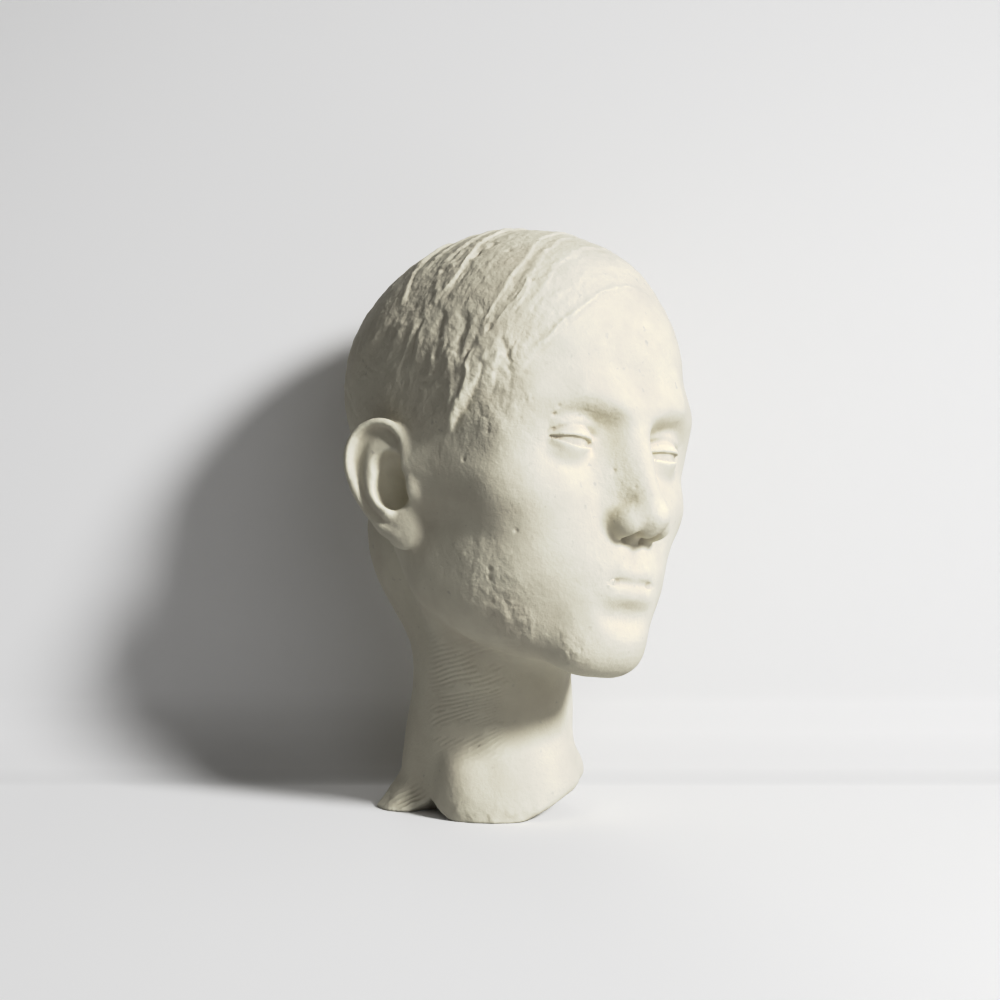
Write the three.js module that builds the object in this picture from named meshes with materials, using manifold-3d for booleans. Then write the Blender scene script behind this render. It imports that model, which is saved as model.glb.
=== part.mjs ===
// A life-size head of a youth with its neck, cast in plaster as one solid.
// The form is a field of distance, built up from named masses of skull, face, ears, hair and neck that run into
// each other as clay does. A skin of triangles is laid on the field, thinned where the form is plain, and cut off
// flat below, where the head stands.
// Millimetres. +Z is up, the face looks towards -Y, the subject's right is -X, and z = 0 is the cut underside.

import * as THREE from 'three';
import Module from 'manifold-3d';

// Driving dimensions of the head, in its own frame: chin at z = 0, crown above, ear canals near y = 0.
const HEAD_HEIGHT = 222; // chin to crown, under the hair
const THIRD = HEAD_HEIGHT * 0.288; // hairline to brow, brow to nose, nose to chin
const EYE_LINE = HEAD_HEIGHT / 2;
const BROW_LINE = 2 * THIRD;
const NOSE_BASE = THIRD;
const MOUTH_LINE = 0.69 * THIRD;
const EYE_APART = 31; // from the middle to each eye
const EYE_DEPTH = -71.5;
const LID_HALF = 14.5; // half the length of the opening between the lids
const BALL = 12.4; // radius of the blank eyeball
const UPPER_LID = 2.0; // how far each lid stands off the ball
const LOWER_LID = 1.6;

// How the head sits on the neck.
const NECK_TOP = new THREE.Vector3(0, 8, 60); // the point of the head that it turns about
const HEAD_PLACE = new THREE.Vector3(-5, -1, 69); // from the head's frame to the part's
const RAISED = 4.5; // degrees, face up
const LEANING = 9; // degrees, to the subject's left

// The ear, in a frame of its own: u backwards, v up, w out.
const EAR_AT = [60, -13, 59];
const EAR_FLARE = 16; // degrees from the side of the head
const EAR_LEAN = 8; // degrees, top backwards
const EAR_OUT = 7; // degrees, top outwards
const EAR_SIZE = [1.08, 1.04, 1.05];
const EAR_JOIN = 3; // mm over which the ear and the head run together
const EAR_MIDDLE = [72, 14, 92]; // of the head's frame
const EAR_REACH = 62;

// The hair. It is laid round an axis that comes out of the face: a point has an angle away from that axis and an
// angle round it, from straight up, positive on the subject's right.
const HAIR_MIDDLE = new THREE.Vector3(0, -2, 146);
const HAIR_AXIS = new THREE.Vector3(0.176, -0.916, -0.356).normalize();
const HAIR_RADIUS = 84; // from the middle, on the whole
const FRINGE = 49.5; // degrees from the axis to the fringe's edge
const FRINGE_FULL = 18; // degrees more to where the fringe is as thick as the rest
const SHORT_HAIR = 1.6; // thickness of the cropped sides
const LONG_HAIR = 2.1; // how much more the hair combed over the top stands up
const PARTING = -48; // degrees round the axis, on the subject's left
const PARTED = 7; // degrees more to where the combed hair is as thick as the rest
const COMBED_EDGE = [-4, 12]; // degrees inside the combed hair's ends, over which it gets as thick as the rest
// Where the hair that is combed over ends on the right: angle from the axis, angle round it.
const ENDS = [
  [46, 70], [52, 74], [58, 82], [64, 92], [69, 108], [72, 108], [76, 96], [82, 95], [88, 93], [96, 93], [106, 88],
  [118, 92], [132, 112], [180, 120],
];

// The strokes of the tool in the hair: what each is, its points as angles, its width and its height, and for a lap
// how far it takes to fall away. A lap is a lock that stands up sharply on its front side and falls away behind.
const LAP = 'lap';
const LINE = 'line'; // raised, or sunk if its height is below nothing
const NOTCH = 'notch'; // short, widest and deepest in its middle
const COMBED = [
  [LAP, [[107, -14], [104, 8], [101.9, 36], [97, 50], [95.6, 58], [99.4, 71]], 0.9, 1.4, 10],
  [LINE, [[100, 6], [98.6, 36], [94, 50], [92.8, 58], [95, 68]], 2.4, -0.4],
  [LAP, [[130, 14], [127, 36], [124.6, 49.9], [118, 63.9], [117.6, 74]], 1.3, 1, 9],
  [LAP, [[87, -10], [84.4, 17.8], [79.5, 30], [75, 41.8], [73.3, 56.8], [70.6, 76]], 0.9, 0.85, 6],
  [LAP, [[80.7, 10], [75, 30], [66.5, 50.8], [65.8, 64]], 0.8, 0.6, 4],
  [LINE, [[51.9, -4], [51.4, 32.9], [51.2, 49], [52.2, 61.2], [54.8, 72]], 1.3, 0.85],
];
const LOCKS = [
  [LINE, [[71.3, 76], [70.2, 84], [68.4, 92], [69, 100], [71, 111]], 1.5, 1.1],
  [LINE, [[66.6, 80], [64.9, 86], [65.6, 94], [67, 101], [69.4, 112]], 1.5, -1.1],
  [LINE, [[88.8, 80], [86.8, 88], [84.6, 95]], 2.8, 0.7],
  [LINE, [[78.6, 81], [77.9, 86], [76.2, 93]], 3, 0.7],
  [NOTCH, [[92, 69], [90.8, 75], [88.2, 81], [85.2, 87.5]], 3.2, -1.3],
  [NOTCH, [[83.6, 66], [80.6, 71], [78.2, 76], [75.6, 82]], 3.4, -1.4],
  [NOTCH, [[73.6, 67], [72.2, 73], [71.6, 78], [71.2, 84]], 1.8, -1],
  [NOTCH, [[65, 70.6], [62.4, 73.4], [60, 75], [56.4, 76.4]], 2, -1],
];
const CROWN_STROKES = [112, 160, 9]; // degrees from the axis: first, end, step
const FAR_SIDE_STROKES = [58, 150, 9];

// The cut end of the neck.
const NECK_RADIUS = 40;
const NECK_BACK = 9; // the neck's axis is this far behind the origin
const APEX = [-42, 11, 8]; // top of the notch between the front and the back lobe, on the subject's right
const APEX_FALLS = 0.2; // how fast its top line sinks inwards
const FLANKS = [[11, -8], [23, 11]]; // each flank's run along y, and its fall
const FOOT_TO = 17; // the flat underside runs this far towards the subject's left front,
const FOOT_RISE = [20, 9.5]; // and from there the rim rises by the second for each length of the first
const FOOT_TURN = -44; // degrees, the way the rim rises, from +X

// The skin.
const SPARE = 6; // the form goes on this far below the flat cut
const LATTICE_LOW = [-108, -124, -12];
const LATTICE_HIGH = [112, 112, 304];
const LATTICE_STEP = 2;
const BLOCK = 4; // lattice points along a block; a block is left out where the surface is further than this:
const BLOCK_REACH = 14;
const TRIANGLES = 9800;
const COLOUR = 0xe6e2d3;

const radians = THREE.MathUtils.degToRad;
const degrees = THREE.MathUtils.radToDeg;
const { clamp, smoothstep } = THREE.MathUtils;

// Joins two distances with a fillet of about the given size, and cuts the second out of the first.
function join(a, b, fillet) {
  const h = Math.max(fillet - Math.abs(a - b), 0) / fillet;
  return Math.min(a, b) - (h * h * fillet) / 4;
}

function cut(a, b, fillet) {
  return -join(-a, b, fillet);
}

function ellipsoid(x, y, z, size) {
  const near = Math.hypot(x / size[0], y / size[1], z / size[2]) + 1e-9;
  const far = Math.hypot(x / size[0] ** 2, y / size[1] ** 2, z / size[2] ** 2) + 1e-9;
  return (near * (near - 1)) / far;
}

function rod(x, y, z, from, to, startRadius, endRadius) {
  const [dx, dy, dz] = [to[0] - from[0], to[1] - from[1], to[2] - from[2]];
  const [px, py, pz] = [x - from[0], y - from[1], z - from[2]];
  const t = clamp((px * dx + py * dy + pz * dz) / (dx * dx + dy * dy + dz * dz), 0, 1);
  return Math.hypot(px - t * dx, py - t * dy, pz - t * dz) - startRadius - (endRadius - startRadius) * t;
}

function roll(x, y, z, points, radii, fillet) {
  let d = rod(x, y, z, points[0], points[1], radii[0], radii[1]);
  for (let i = 1; i < points.length - 1; i += 1) {
    const next = rod(x, y, z, points[i], points[i + 1], radii[i], radii[i + 1]);
    d = fillet ? join(d, next, fillet) : Math.min(d, next);
  }
  return d;
}

// Where a mass stands: once in the middle, on both sides, or on both sides with a soft meeting in the middle.
const ONCE = (x) => x;
const BOTH = (x) => Math.abs(x);
const SOFTLY = (x) => Math.hypot(x, 6);
const BROADLY = (x) => Math.hypot(x, 14);

// Each of these makes one step of the modelling: a mass laid on, or a hollow pressed in.
function lump(where, at, size, fillet, turn = 0) {
  const [c, s] = [Math.cos(radians(turn)), Math.sin(radians(turn))];
  return (x, y, z, d) => {
    const [dx, dy] = [where(x) - at[0], y - at[1]];
    return join(d, ellipsoid(c * dx + s * dy, c * dy - s * dx, z - at[2], size), fillet);
  };
}

function hollow(where, at, size, fillet) {
  return (x, y, z, d) => cut(d, ellipsoid(where(x) - at[0], y - at[1], z - at[2], size), fillet);
}

// A block with flat faces, each given by the way it faces and a point of it.
function block(faces, edge, fillet) {
  const planes = faces.map(([facing, point]) => {
    const normal = new THREE.Vector3(...facing).normalize();
    return [normal, normal.dot(new THREE.Vector3(...point))];
  });
  const outside = (x, y, z) => ([n, reach]) => n.x * x + n.y * y + n.z * z - reach;
  return (x, y, z, d) => {
    const distances = planes.map(outside(x, y, z));
    return join(d, distances.reduce((most, next) => cut(most, -next, edge)), fillet);
  };
}

function band(where, points, radii, fillet, inner = 0) {
  return (x, y, z, d) => join(d, roll(where(x), y, z, points, radii, inner), fillet);
}

function furrow(where, points, radii, fillet, inner = 0) {
  return (x, y, z, d) => cut(d, roll(where(x), y, z, points, radii, inner), fillet);
}

// Draws a smooth line through points, with so many stretches in place of each.
function eased(points, stretches) {
  const [first, last] = [points[0], points[points.length - 1]];
  const before = first.map((v, m) => 2 * v - points[1][m]);
  const after = last.map((v, m) => 2 * v - points[points.length - 2][m]);
  const all = [before, ...points, after];
  const line = [first];
  for (let i = 1; i < points.length; i += 1)
    for (let j = 1; j <= stretches; j += 1) {
      const t = j / stretches;
      const [a, b, c, d] = all.slice(i - 1, i + 3);
      const bend = (m) => (c[m] - a[m]) * t + (2 * a[m] - 5 * b[m] + 4 * c[m] - d[m]) * t ** 2;
      line.push(first.map((_, m) => b[m] + (bend(m) + (3 * b[m] - a[m] - 3 * c[m] + d[m]) * t ** 3) / 2));
    }
  return line;
}

// A band or a furrow along a smooth line.
function smooth(kind, points, radii, fillet) {
  const line = eased(points.map((point, i) => [...point, radii[i]]), 2);
  return kind(ONCE, line.map((p) => p.slice(0, 3)), line.map((p) => p[3]), fillet);
}

const model = (steps, x, y, z, start = 1e3) => steps.reduce((d, step) => step(x, y, z, d), start);

const SKULL = [
  lump(ONCE, [0, 17, 143], [69, 71, 71], 1),
  lump(ONCE, [0, -18, 152], [61, 68, 67], 24),
  lump(BROADLY, [27, -40, 150], [32, 42, 42], 26),
];

const FACE = [
  lump(ONCE, [0, -43, 82], [51, 46, 56], 24), // upper jaw
  lump(SOFTLY, [29, -45, 60], [26, 33, 38], 20), // cheeks
  lump(SOFTLY, [39, -18, 62], [20, 27, 38], 20), // chewing muscle
  band(SOFTLY, [[52, 2, 92], [42, -6, 45], [15, -70, 15]], [10, 13, 12], 18), // edge of the jaw
  lump(ONCE, [0, -36, 38], [40, 46, 28], 20), // floor of the mouth
  lump(ONCE, [0, -76, 17], [19, 14.5, 15], 15), // chin
  lump(ONCE, [0, -72, 48], [30, 21, 25], 18), // muzzle
  lump(BOTH, [39, -58, 87], [20, 19, 14], 20, 30), // cheekbone
  band(BOTH, [[46, -50, 92], [59, -4, 97]], [10, 9], 26), // arch from the cheekbone to the ear
  band(
    SOFTLY,
    [[2, -86, BROW_LINE - 1], [14, -86, BROW_LINE + 1], [32, -81, BROW_LINE + 5], [48, -69, 130], [54, -57, 118]],
    [6, 6.5, 7, 7, 8],
    16,
  ), // brow
  lump(BOTH, [45, -42, 124], [18, 28, 30], 20), // temple
  lump(SOFTLY, [44, -14, 116], [20, 34, 30], 24), // side of the head above the ear
  hollow(BOTH, [30, -97, EYE_LINE + 1], [18, 16.5, 11], 12), // eye socket
  hollow(BOTH, [17, -100, EYE_LINE + 1], [6, 14, 9], 8), // its inner corner
];

const NOSE = [
  lump(ONCE, [0, -78, NOSE_BASE + 28], [15, 19, 29], 9), // root
  band(ONCE, [[0, -85, 122], [0, -92, 103], [0, -101, 83]], [6.5, 6.2, 7], 9, 3), // bridge
  lump(ONCE, [0, -103.5, NOSE_BASE + 13], [9.2, 8.4, 7.8], 7), // tip
  lump(BOTH, [10.2, -95, NOSE_BASE + 9.5], [6.4, 10, 7.4], 5.5), // wings
  band(ONCE, [[0, -102, NOSE_BASE + 7.5], [0, -92, NOSE_BASE + 3]], [4.4, 4], 4), // wall between the nostrils
  hollow(BOTH, [6, -97, NOSE_BASE + 2], [3.1, 6, 4.5], 2.5), // nostrils
];

const MOUTH = [
  band(BOTH, [[0, -90.8, 50], [7, -90.6, 51], [24, -80, 45.4]], [4.2, 4.5, 2.4], 5), // upper lip
  band(BOTH, [[0, -89.5, 38.5], [9, -88.2, 39], [22, -79.6, 43]], [5.6, 5.2, 2.4], 5), // lower lip
  furrow(
    BOTH,
    [[0, -96.6, MOUTH_LINE + 0.4], [9, -94.8, MOUTH_LINE + 0.8], [25, -82.6, MOUTH_LINE + 0.2]],
    [1.1, 1.1, 0.7],
    2.2,
  ), // line between the lips
  furrow(ONCE, [[0, -97, NOSE_BASE], [0, -97.4, NOSE_BASE - 9]], [2.5, 2.5], 4), // channel under the nose
  hollow(ONCE, [0, -96.5, 28], [18, 6.5, 5], 8), // hollow over the chin
];

const EAR = [
  lump(ONCE, [17.5, 40, -1.5], [17.5, 21, 7.5], 1), // plate
  lump(ONCE, [15.5, 24, -2.5], [15.5, 20, 7.5], 4),
  smooth(
    band,
    [[8, 52, 0], [17, 56.5, 0.5], [26.5, 52.5, 1], [29.5, 41, 1], [27.5, 29, 0.5], [22, 18, 0]],
    [3.2, 3.4, 3.8, 4, 3.8, 3.4],
    3,
  ), // its edge, under the rim
  lump(ONCE, [10.5, 8.5, 1], [9, 9.5, 4.4], 4), // lobe
  smooth(
    band,
    [
      [14, 32, -1], [7, 36, 1.5], [3, 44, 3.5], [4.5, 52, 4.2], [10, 58, 4.4], [18, 60, 4.8], [26, 57, 5.4],
      [31.5, 50, 6], [33, 40, 5.8], [31, 29, 4.6], [26.5, 19, 3.2], [20, 11, 2.6], [13, 6.5, 2],
    ],
    [1.8, 2.4, 2.6, 2.7, 2.6, 2.5, 2.5, 2.5, 2.5, 2.4, 2.4, 2.8, 3],
    2,
  ), // rim
  smooth(
    furrow,
    [[8, 50, 7], [12, 54, 7], [18, 55.5, 7.2], [24.5, 52.5, 7.8], [28, 45, 8], [28.6, 38, 8.2]],
    [2.8, 3.2, 3.4, 3.4, 3.2, 2.2],
    2,
  ), // groove inside the rim
  smooth(
    band,
    [[18, 52, 0.5], [21.5, 44, 2], [23.5, 35, 3.6], [22.5, 26, 4.6], [16, 17.5, 5]],
    [2.2, 2.8, 3, 3, 3],
    3,
  ), // inner ridge
  band(ONCE, [[21, 43, 2], [10, 46, 0.5]], [2.4, 1.8], 3), // its lower leg
  lump(ONCE, [1.5, 27, 3], [4.5, 6.5, 4.4], 3), // flap before the canal
  furrow(ONCE, [[7, 20, 6], [6.5, 24, 5]], [2, 1.6], 2), // notch below it
  lump(ONCE, [9, 33, -12], [11, 25, 9.5], 6), // root in the side of the head
];

// Sunk into the ear and the side of the head together.
const EAR_BOWL = [
  hollow(ONCE, [12.8, 29.5, 2.5], [8.6, 11, 9], 3),
  hollow(ONCE, [13, 40, 4.5], [7, 5.5, 5.5], 3),
];

const NECK = [
  (x, y, z, d) => join(d, rod(x, 0.94 * y, z, [-1, NECK_BACK, -40], [-1, 7, 150], NECK_RADIUS, NECK_RADIUS - 2), 1),
  lump(ONCE, [-2, 38, 140], [46, 38, 50], 26), // nape
  band((x) => Math.hypot(x, 4), [[50, 16, 138], [11, -21, 20]], [8, 9], 9), // muscle from the ear to the throat
  band(ONCE, [[-1, -22, 90], [-1, -22, 20]], [11, 12], 12), // windpipe
];

const BASE = [
  lump(ONCE, [-5, -10, 8], [38, 31, 40], 10), // front lobe
  lump(ONCE, [25.5, -17.5, 19], [9, 9, 9], 8), // its bump on the subject's left
  lump(ONCE, [8, 33, 10], [30, 18, 34], 12), // behind
  lump(ONCE, [-33, -7, 12], [12, 14, 20], 8), // the front lobe's end by the notch
  lump(ONCE, [-26, 30, 0], [12.5, 12.5, 50], 12), // flare over the back lobe
  block(
    [
      [[-0.945, 0.325, 0.9], [-51, 32, 2]],
      [[-0.85, -0.27, 0.58], [-51.4, 31.4, 0]],
      [[-0.3, 0.95, 0.35], [-44, 46, 0]],
      [[0, 0, -1], [0, 0, -8]],
      [[1, 0, 0], [-20, 0, 0]],
      [[0, -1, 0], [0, 7, 0]],
    ],
    1.5,
    2.5,
  ), // back lobe
];

// The notch between the two lobes, with two flat flanks under a line that sinks inwards.
function notch(x, y, z) {
  const top = APEX[2] - APEX_FALLS * (x - APEX[0]);
  const flanks = FLANKS.map(([run, fall]) => ((z - top) * run - (y - APEX[1]) * fall) / Math.hypot(run, fall));
  return Math.max(...flanks);
}

// Closed, blank eyes: a ball, an upper and a lower lid that nearly meet over it, and the crease above.
function eyes(x, y, z, d) {
  const [dx, dy, dz] = [Math.abs(x) - EYE_APART, y - EYE_DEPTH, z - EYE_LINE];
  const t = dx / LID_HALF;
  const open = clamp(1 - t * t, 0, 1);
  const upper = dz - (1.4 * open + 0.7 * t - 0.4);
  const lower = 0.7 * t - 0.4 - 2.8 * open - dz;
  const between = 1 - smoothstep(Math.abs(t), 0.9, 1.05);
  const lids = UPPER_LID * smoothstep(upper, -0.5, 0.5) + LOWER_LID * smoothstep(lower, -0.5, 0.5);
  const radius = BALL + (1 - between) * 1.2 + between * lids;
  const shut = join(d, Math.hypot(dx, dy, dz) - radius, 1.5 + 3.5 * smoothstep(Math.abs(dz), 2, 8));
  if (y > EYE_DEPTH + 11) return shut;
  const crease = dz - (6.6 - 4.2 * t * t - 0.5 * t);
  return shut + Math.exp(-((crease / 1.5) ** 2)) * (1 - smoothstep(Math.abs(t), 0.7, 1.15));
}

// The ear's three directions on the subject's left, each divided by its size.
const earAxes = (() => {
  const [flare, lean, out] = [radians(EAR_FLARE), radians(EAR_LEAN), radians(EAR_OUT)];
  const along = new THREE.Vector3(Math.sin(flare), Math.cos(flare), 0);
  const away = new THREE.Vector3(Math.cos(flare), -Math.sin(flare), 0);
  const up = new THREE.Vector3(0, 0, 1);
  const u = along.clone().multiplyScalar(Math.cos(lean)).addScaledVector(up, -Math.sin(lean));
  const v = up.clone().multiplyScalar(Math.cos(lean)).addScaledVector(along, Math.sin(lean));
  const tipped = v.clone().multiplyScalar(Math.cos(out)).addScaledVector(away, Math.sin(out));
  const w = away.clone().multiplyScalar(Math.cos(out)).addScaledVector(v, -Math.sin(out));
  return [u, tipped, w].map((axis, i) => axis.divideScalar(EAR_SIZE[i]));
})();

function ears(x, y, z, d) {
  if (Math.hypot(Math.abs(x) - EAR_MIDDLE[0], y - EAR_MIDDLE[1], z - EAR_MIDDLE[2]) > EAR_REACH) return d;
  const [dx, dy, dz] = [Math.abs(x) - EAR_AT[0], y - EAR_AT[1], z - EAR_AT[2]];
  const [u, v, w] = earAxes.map((axis) => axis.x * dx + axis.y * dy + axis.z * dz);
  const scale = EAR_SIZE[1];
  const grown = join(d / scale, model(EAR, u, v, w), EAR_JOIN / scale);
  return model(EAR_BOWL, u, v, w, grown) * scale;
}

const hairUp = new THREE.Vector3(0, 0, 1).addScaledVector(HAIR_AXIS, -HAIR_AXIS.z).normalize();
const hairSide = new THREE.Vector3().crossVectors(HAIR_AXIS, hairUp);

function along(points, at) {
  const i = points.findIndex((point) => point[0] > at);
  if (i <= 0) return points[i < 0 ? points.length - 1 : 0][1];
  const [[x0, y0], [x1, y1]] = [points[i - 1], points[i]];
  return y0 + ((at - x0) / (x1 - x0)) * (y1 - y0);
}

function evenly([first, end, step]) {
  return Array.from({ length: Math.ceil((end - first) / step) }, (_, i) => first + i * step);
}

// Plainer laps over the crown and down the far side, where the photograph doesn't show the hair.
const PLAIN = [
  ...evenly(CROWN_STROKES).map((away, i) => {
    const shift = 9 * Math.sin(2.3 * i);
    return [LAP, [[away + 2, shift - 34], [away, 0], [away - 3, 32 - shift], [away - 4, 62 + shift]], 1.3, 0.9, 8];
  }),
  ...evenly(FAR_SIDE_STROKES).map((away, i) => {
    const shift = 5 * Math.sin(1.7 * i);
    return [LAP, [[away, -54], [away + 2, -66], [away + 3, shift - 80], [away + 5, shift - 94]], 1.2, 1.4, 7];
  }),
];

// Makes one stroke ready: how high it stands at a point, given by its two angles.
function stroke([kind, points, width, height, behind = 0]) {
  const line = eased(points, 3);
  const ground = radians(1) * HAIR_RADIUS;
  const spread = degrees((3 * width + 3 * behind) / HAIR_RADIUS);
  const [low, high] = [Math.min, Math.max].map((pick) => [0, 1].map((m) => pick(...points.map((point) => point[m]))));
  const sideways = spread / Math.max(Math.sin(radians(clamp(low[0], 20, 160))), 0.35);
  return (away, round) => {
    if (away < low[0] - spread || away > high[0] + spread) return 0;
    if (round < low[1] - sideways || round > high[1] + sideways) return 0;
    const shrink = Math.sin(radians(away));
    let [best, side, place] = [1e9, 0, 0];
    for (let i = 0; i < line.length - 1; i += 1) {
      const dx = (line[i + 1][0] - line[i][0]) * ground;
      const dy = (line[i + 1][1] - line[i][1]) * ground * shrink;
      const px = (away - line[i][0]) * ground;
      const py = (round - line[i][1]) * ground * shrink;
      const t = clamp((px * dx + py * dy) / (dx * dx + dy * dy), 0, 1);
      const gap = Math.hypot(px - t * dx, py - t * dy);
      if (gap < best) [best, side, place] = [gap, Math.sign(px * dy - py * dx), (i + t) / (line.length - 1)];
    }
    if (kind === NOTCH) {
      const lens = Math.sqrt(Math.max(Math.sin(Math.PI * place), 0));
      return height * lens * Math.exp(-((best / (width * (0.35 + 0.65 * lens))) ** 2));
    }
    const ends = smoothstep(place, 0, 0.12) * (1 - smoothstep(place, 0.8, 1));
    if (kind === LINE) return height * ends * Math.exp(-((best / width) ** 2));
    return height * ends * smoothstep(side * best, -width, width) * Math.exp(-Math.max(side * best, 0) / behind);
  };
}

const combed = [...COMBED, ...PLAIN].map(stroke);
const locks = LOCKS.map(stroke);

// How thick the hair lies at a point of the head.
function hair(x, y, z) {
  const [dx, dy, dz] = [x - HAIR_MIDDLE.x, y - HAIR_MIDDLE.y, z - HAIR_MIDDLE.z];
  const ahead = dx * HAIR_AXIS.x + dy * HAIR_AXIS.y + dz * HAIR_AXIS.z;
  const above = dx * hairUp.x + dy * hairUp.y + dz * hairUp.z;
  const aside = dx * hairSide.x + dy * hairSide.y + dz * hairSide.z;
  const away = degrees(Math.atan2(Math.hypot(above, aside), ahead));
  const round = degrees(Math.atan2(aside, above));
  // The hairline runs over the forehead, the temples, round the ears and the nape.
  const side = Math.abs(round);
  const soft = 0.8 + 1.6 * (1 - smoothstep(round, -5, 62));
  const front = smoothstep((away - FRINGE - 3.5 * smoothstep(side, 55, 78)) / soft, -1, 1);
  const temple = smoothstep(75 + 1.74 * (away - 54) - side, -9, 9);
  const grows = front * temple * smoothstep(z - (114 - 50 * smoothstep(y, 2, 62)), -8, 8);
  const over = smoothstep(along(ENDS, away) - round, ...COMBED_EDGE) * smoothstep(round - PARTING, 0, PARTED) * front;
  const edge = 0.12 + 0.3 * smoothstep(round, -10, 65);
  const full = edge + (1 - edge) * smoothstep(away, FRINGE, FRINGE + FRINGE_FULL);
  const height = (sum, one) => sum + one(away, round);
  const laps = combed.reduce(height, 0) * Math.max(over, 0.35 * grows);
  return (SHORT_HAIR * grows + LONG_HAIR * over) * full + laps + locks.reduce(height, 0);
}

const worldToHead = new THREE.Matrix4()
  .makeTranslation(HEAD_PLACE.clone().add(NECK_TOP))
  .multiply(new THREE.Matrix4().makeRotationX(-radians(RAISED)))
  .multiply(new THREE.Matrix4().makeRotationY(radians(LEANING)))
  .multiply(new THREE.Matrix4().makeTranslation(NECK_TOP.clone().negate()))
  .invert();
const inHead = new THREE.Vector3();

// The whole form: how far a point of the part's frame is from the plaster, less than nothing inside it.
function form(x, y, z) {
  const q = inHead.set(x, y, z).applyMatrix4(worldToHead);
  const [hx, hy, hz] = [q.x, q.y, q.z];
  let d = model(FACE, hx, hy, hz, model(SKULL, hx, hy, hz));
  d = model(MOUTH, hx, hy, hz, model(NOSE, hx, hy, hz, eyes(hx, hy, hz, d)));
  d -= hair(hx, hy, hz);
  let below = model(BASE, x, y, z, model(NECK, x, y, z));
  const turn = radians(FOOT_TURN);
  const reach = x * Math.cos(turn) + (y - NECK_BACK) * Math.sin(turn) - FOOT_TO;
  const rim = (FOOT_RISE[0] * z - FOOT_RISE[1] * reach) / Math.hypot(...FOOT_RISE);
  below = cut(cut(below, notch(x, y, z), 1.5), rim, 4);
  return Math.max(ears(hx, hy, hz, join(d, below, 13)), -z - SPARE);
}

function slope(x, y, z) {
  const e = 0.4;
  return [
    (form(x + e, y, z) - form(x - e, y, z)) / (2 * e),
    (form(x, y + e, z) - form(x, y - e, z)) / (2 * e),
    (form(x, y, z + e) - form(x, y, z - e)) / (2 * e),
  ];
}

// Makes the lattice's inside simple enough for one skin: wherever two inside points of a lattice square touch only
// at its diagonal, the shallower one is taken out, until no such square is left.
function settle(value, stride) {
  const inside = (index) => value[index] < 0;
  const sides = stride.map((s, axis) => [s, stride[(axis + 1) % 3]]);
  for (let changed = true; changed; ) {
    changed = false;
    for (const [s1, s2] of sides)
      for (let index = 0; index + s1 + s2 < value.length; index += 1) {
        const first = inside(index);
        if (first === inside(index + s1) || first === inside(index + s2) || first !== inside(index + s1 + s2)) continue;
        const [a, b] = first ? [index, index + s1 + s2] : [index + s1, index + s2];
        value[value[a] > value[b] ? a : b] = 0.01;
        changed = true;
      }
  }
}

// Fills every pocket of air that can't be reached from the lattice's first point, so that the plaster is solid.
function fillPockets(value, stride) {
  const open = new Uint8Array(value.length);
  const waiting = [0];
  while (waiting.length) {
    const index = waiting.pop();
    for (const step of stride)
      for (const next of [index - step, index + step]) {
        if (open[next] !== 0 || value[next] < 0) continue;
        open[next] = 1;
        waiting.push(next);
      }
  }
  for (let index = 0; index < value.length; index += 1) if (!open[index] && value[index] >= 0) value[index] = -0.01;
}

// The form's value at each point of the lattice, found point by point only near the surface.
function sample(n, stride, at) {
  const value = new Float32Array(n[0] * n[1] * n[2]);
  const middle = (BLOCK - 1) / 2;
  for (let k = 0; k < n[2]; k += BLOCK)
    for (let j = 0; j < n[1]; j += BLOCK)
      for (let i = 0; i < n[0]; i += BLOCK) {
        const rough = form(...at(i + middle, j + middle, k + middle));
        const far = Math.abs(rough) > BLOCK_REACH;
        for (let c = k; c < Math.min(k + BLOCK, n[2]); c += 1)
          for (let b = j; b < Math.min(j + BLOCK, n[1]); b += 1)
            for (let a = i; a < Math.min(i + BLOCK, n[0]); a += 1)
              value[a + b * stride[1] + c * stride[2]] = far ? rough : form(...at(a, b, c));
      }
  return value;
}

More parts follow.
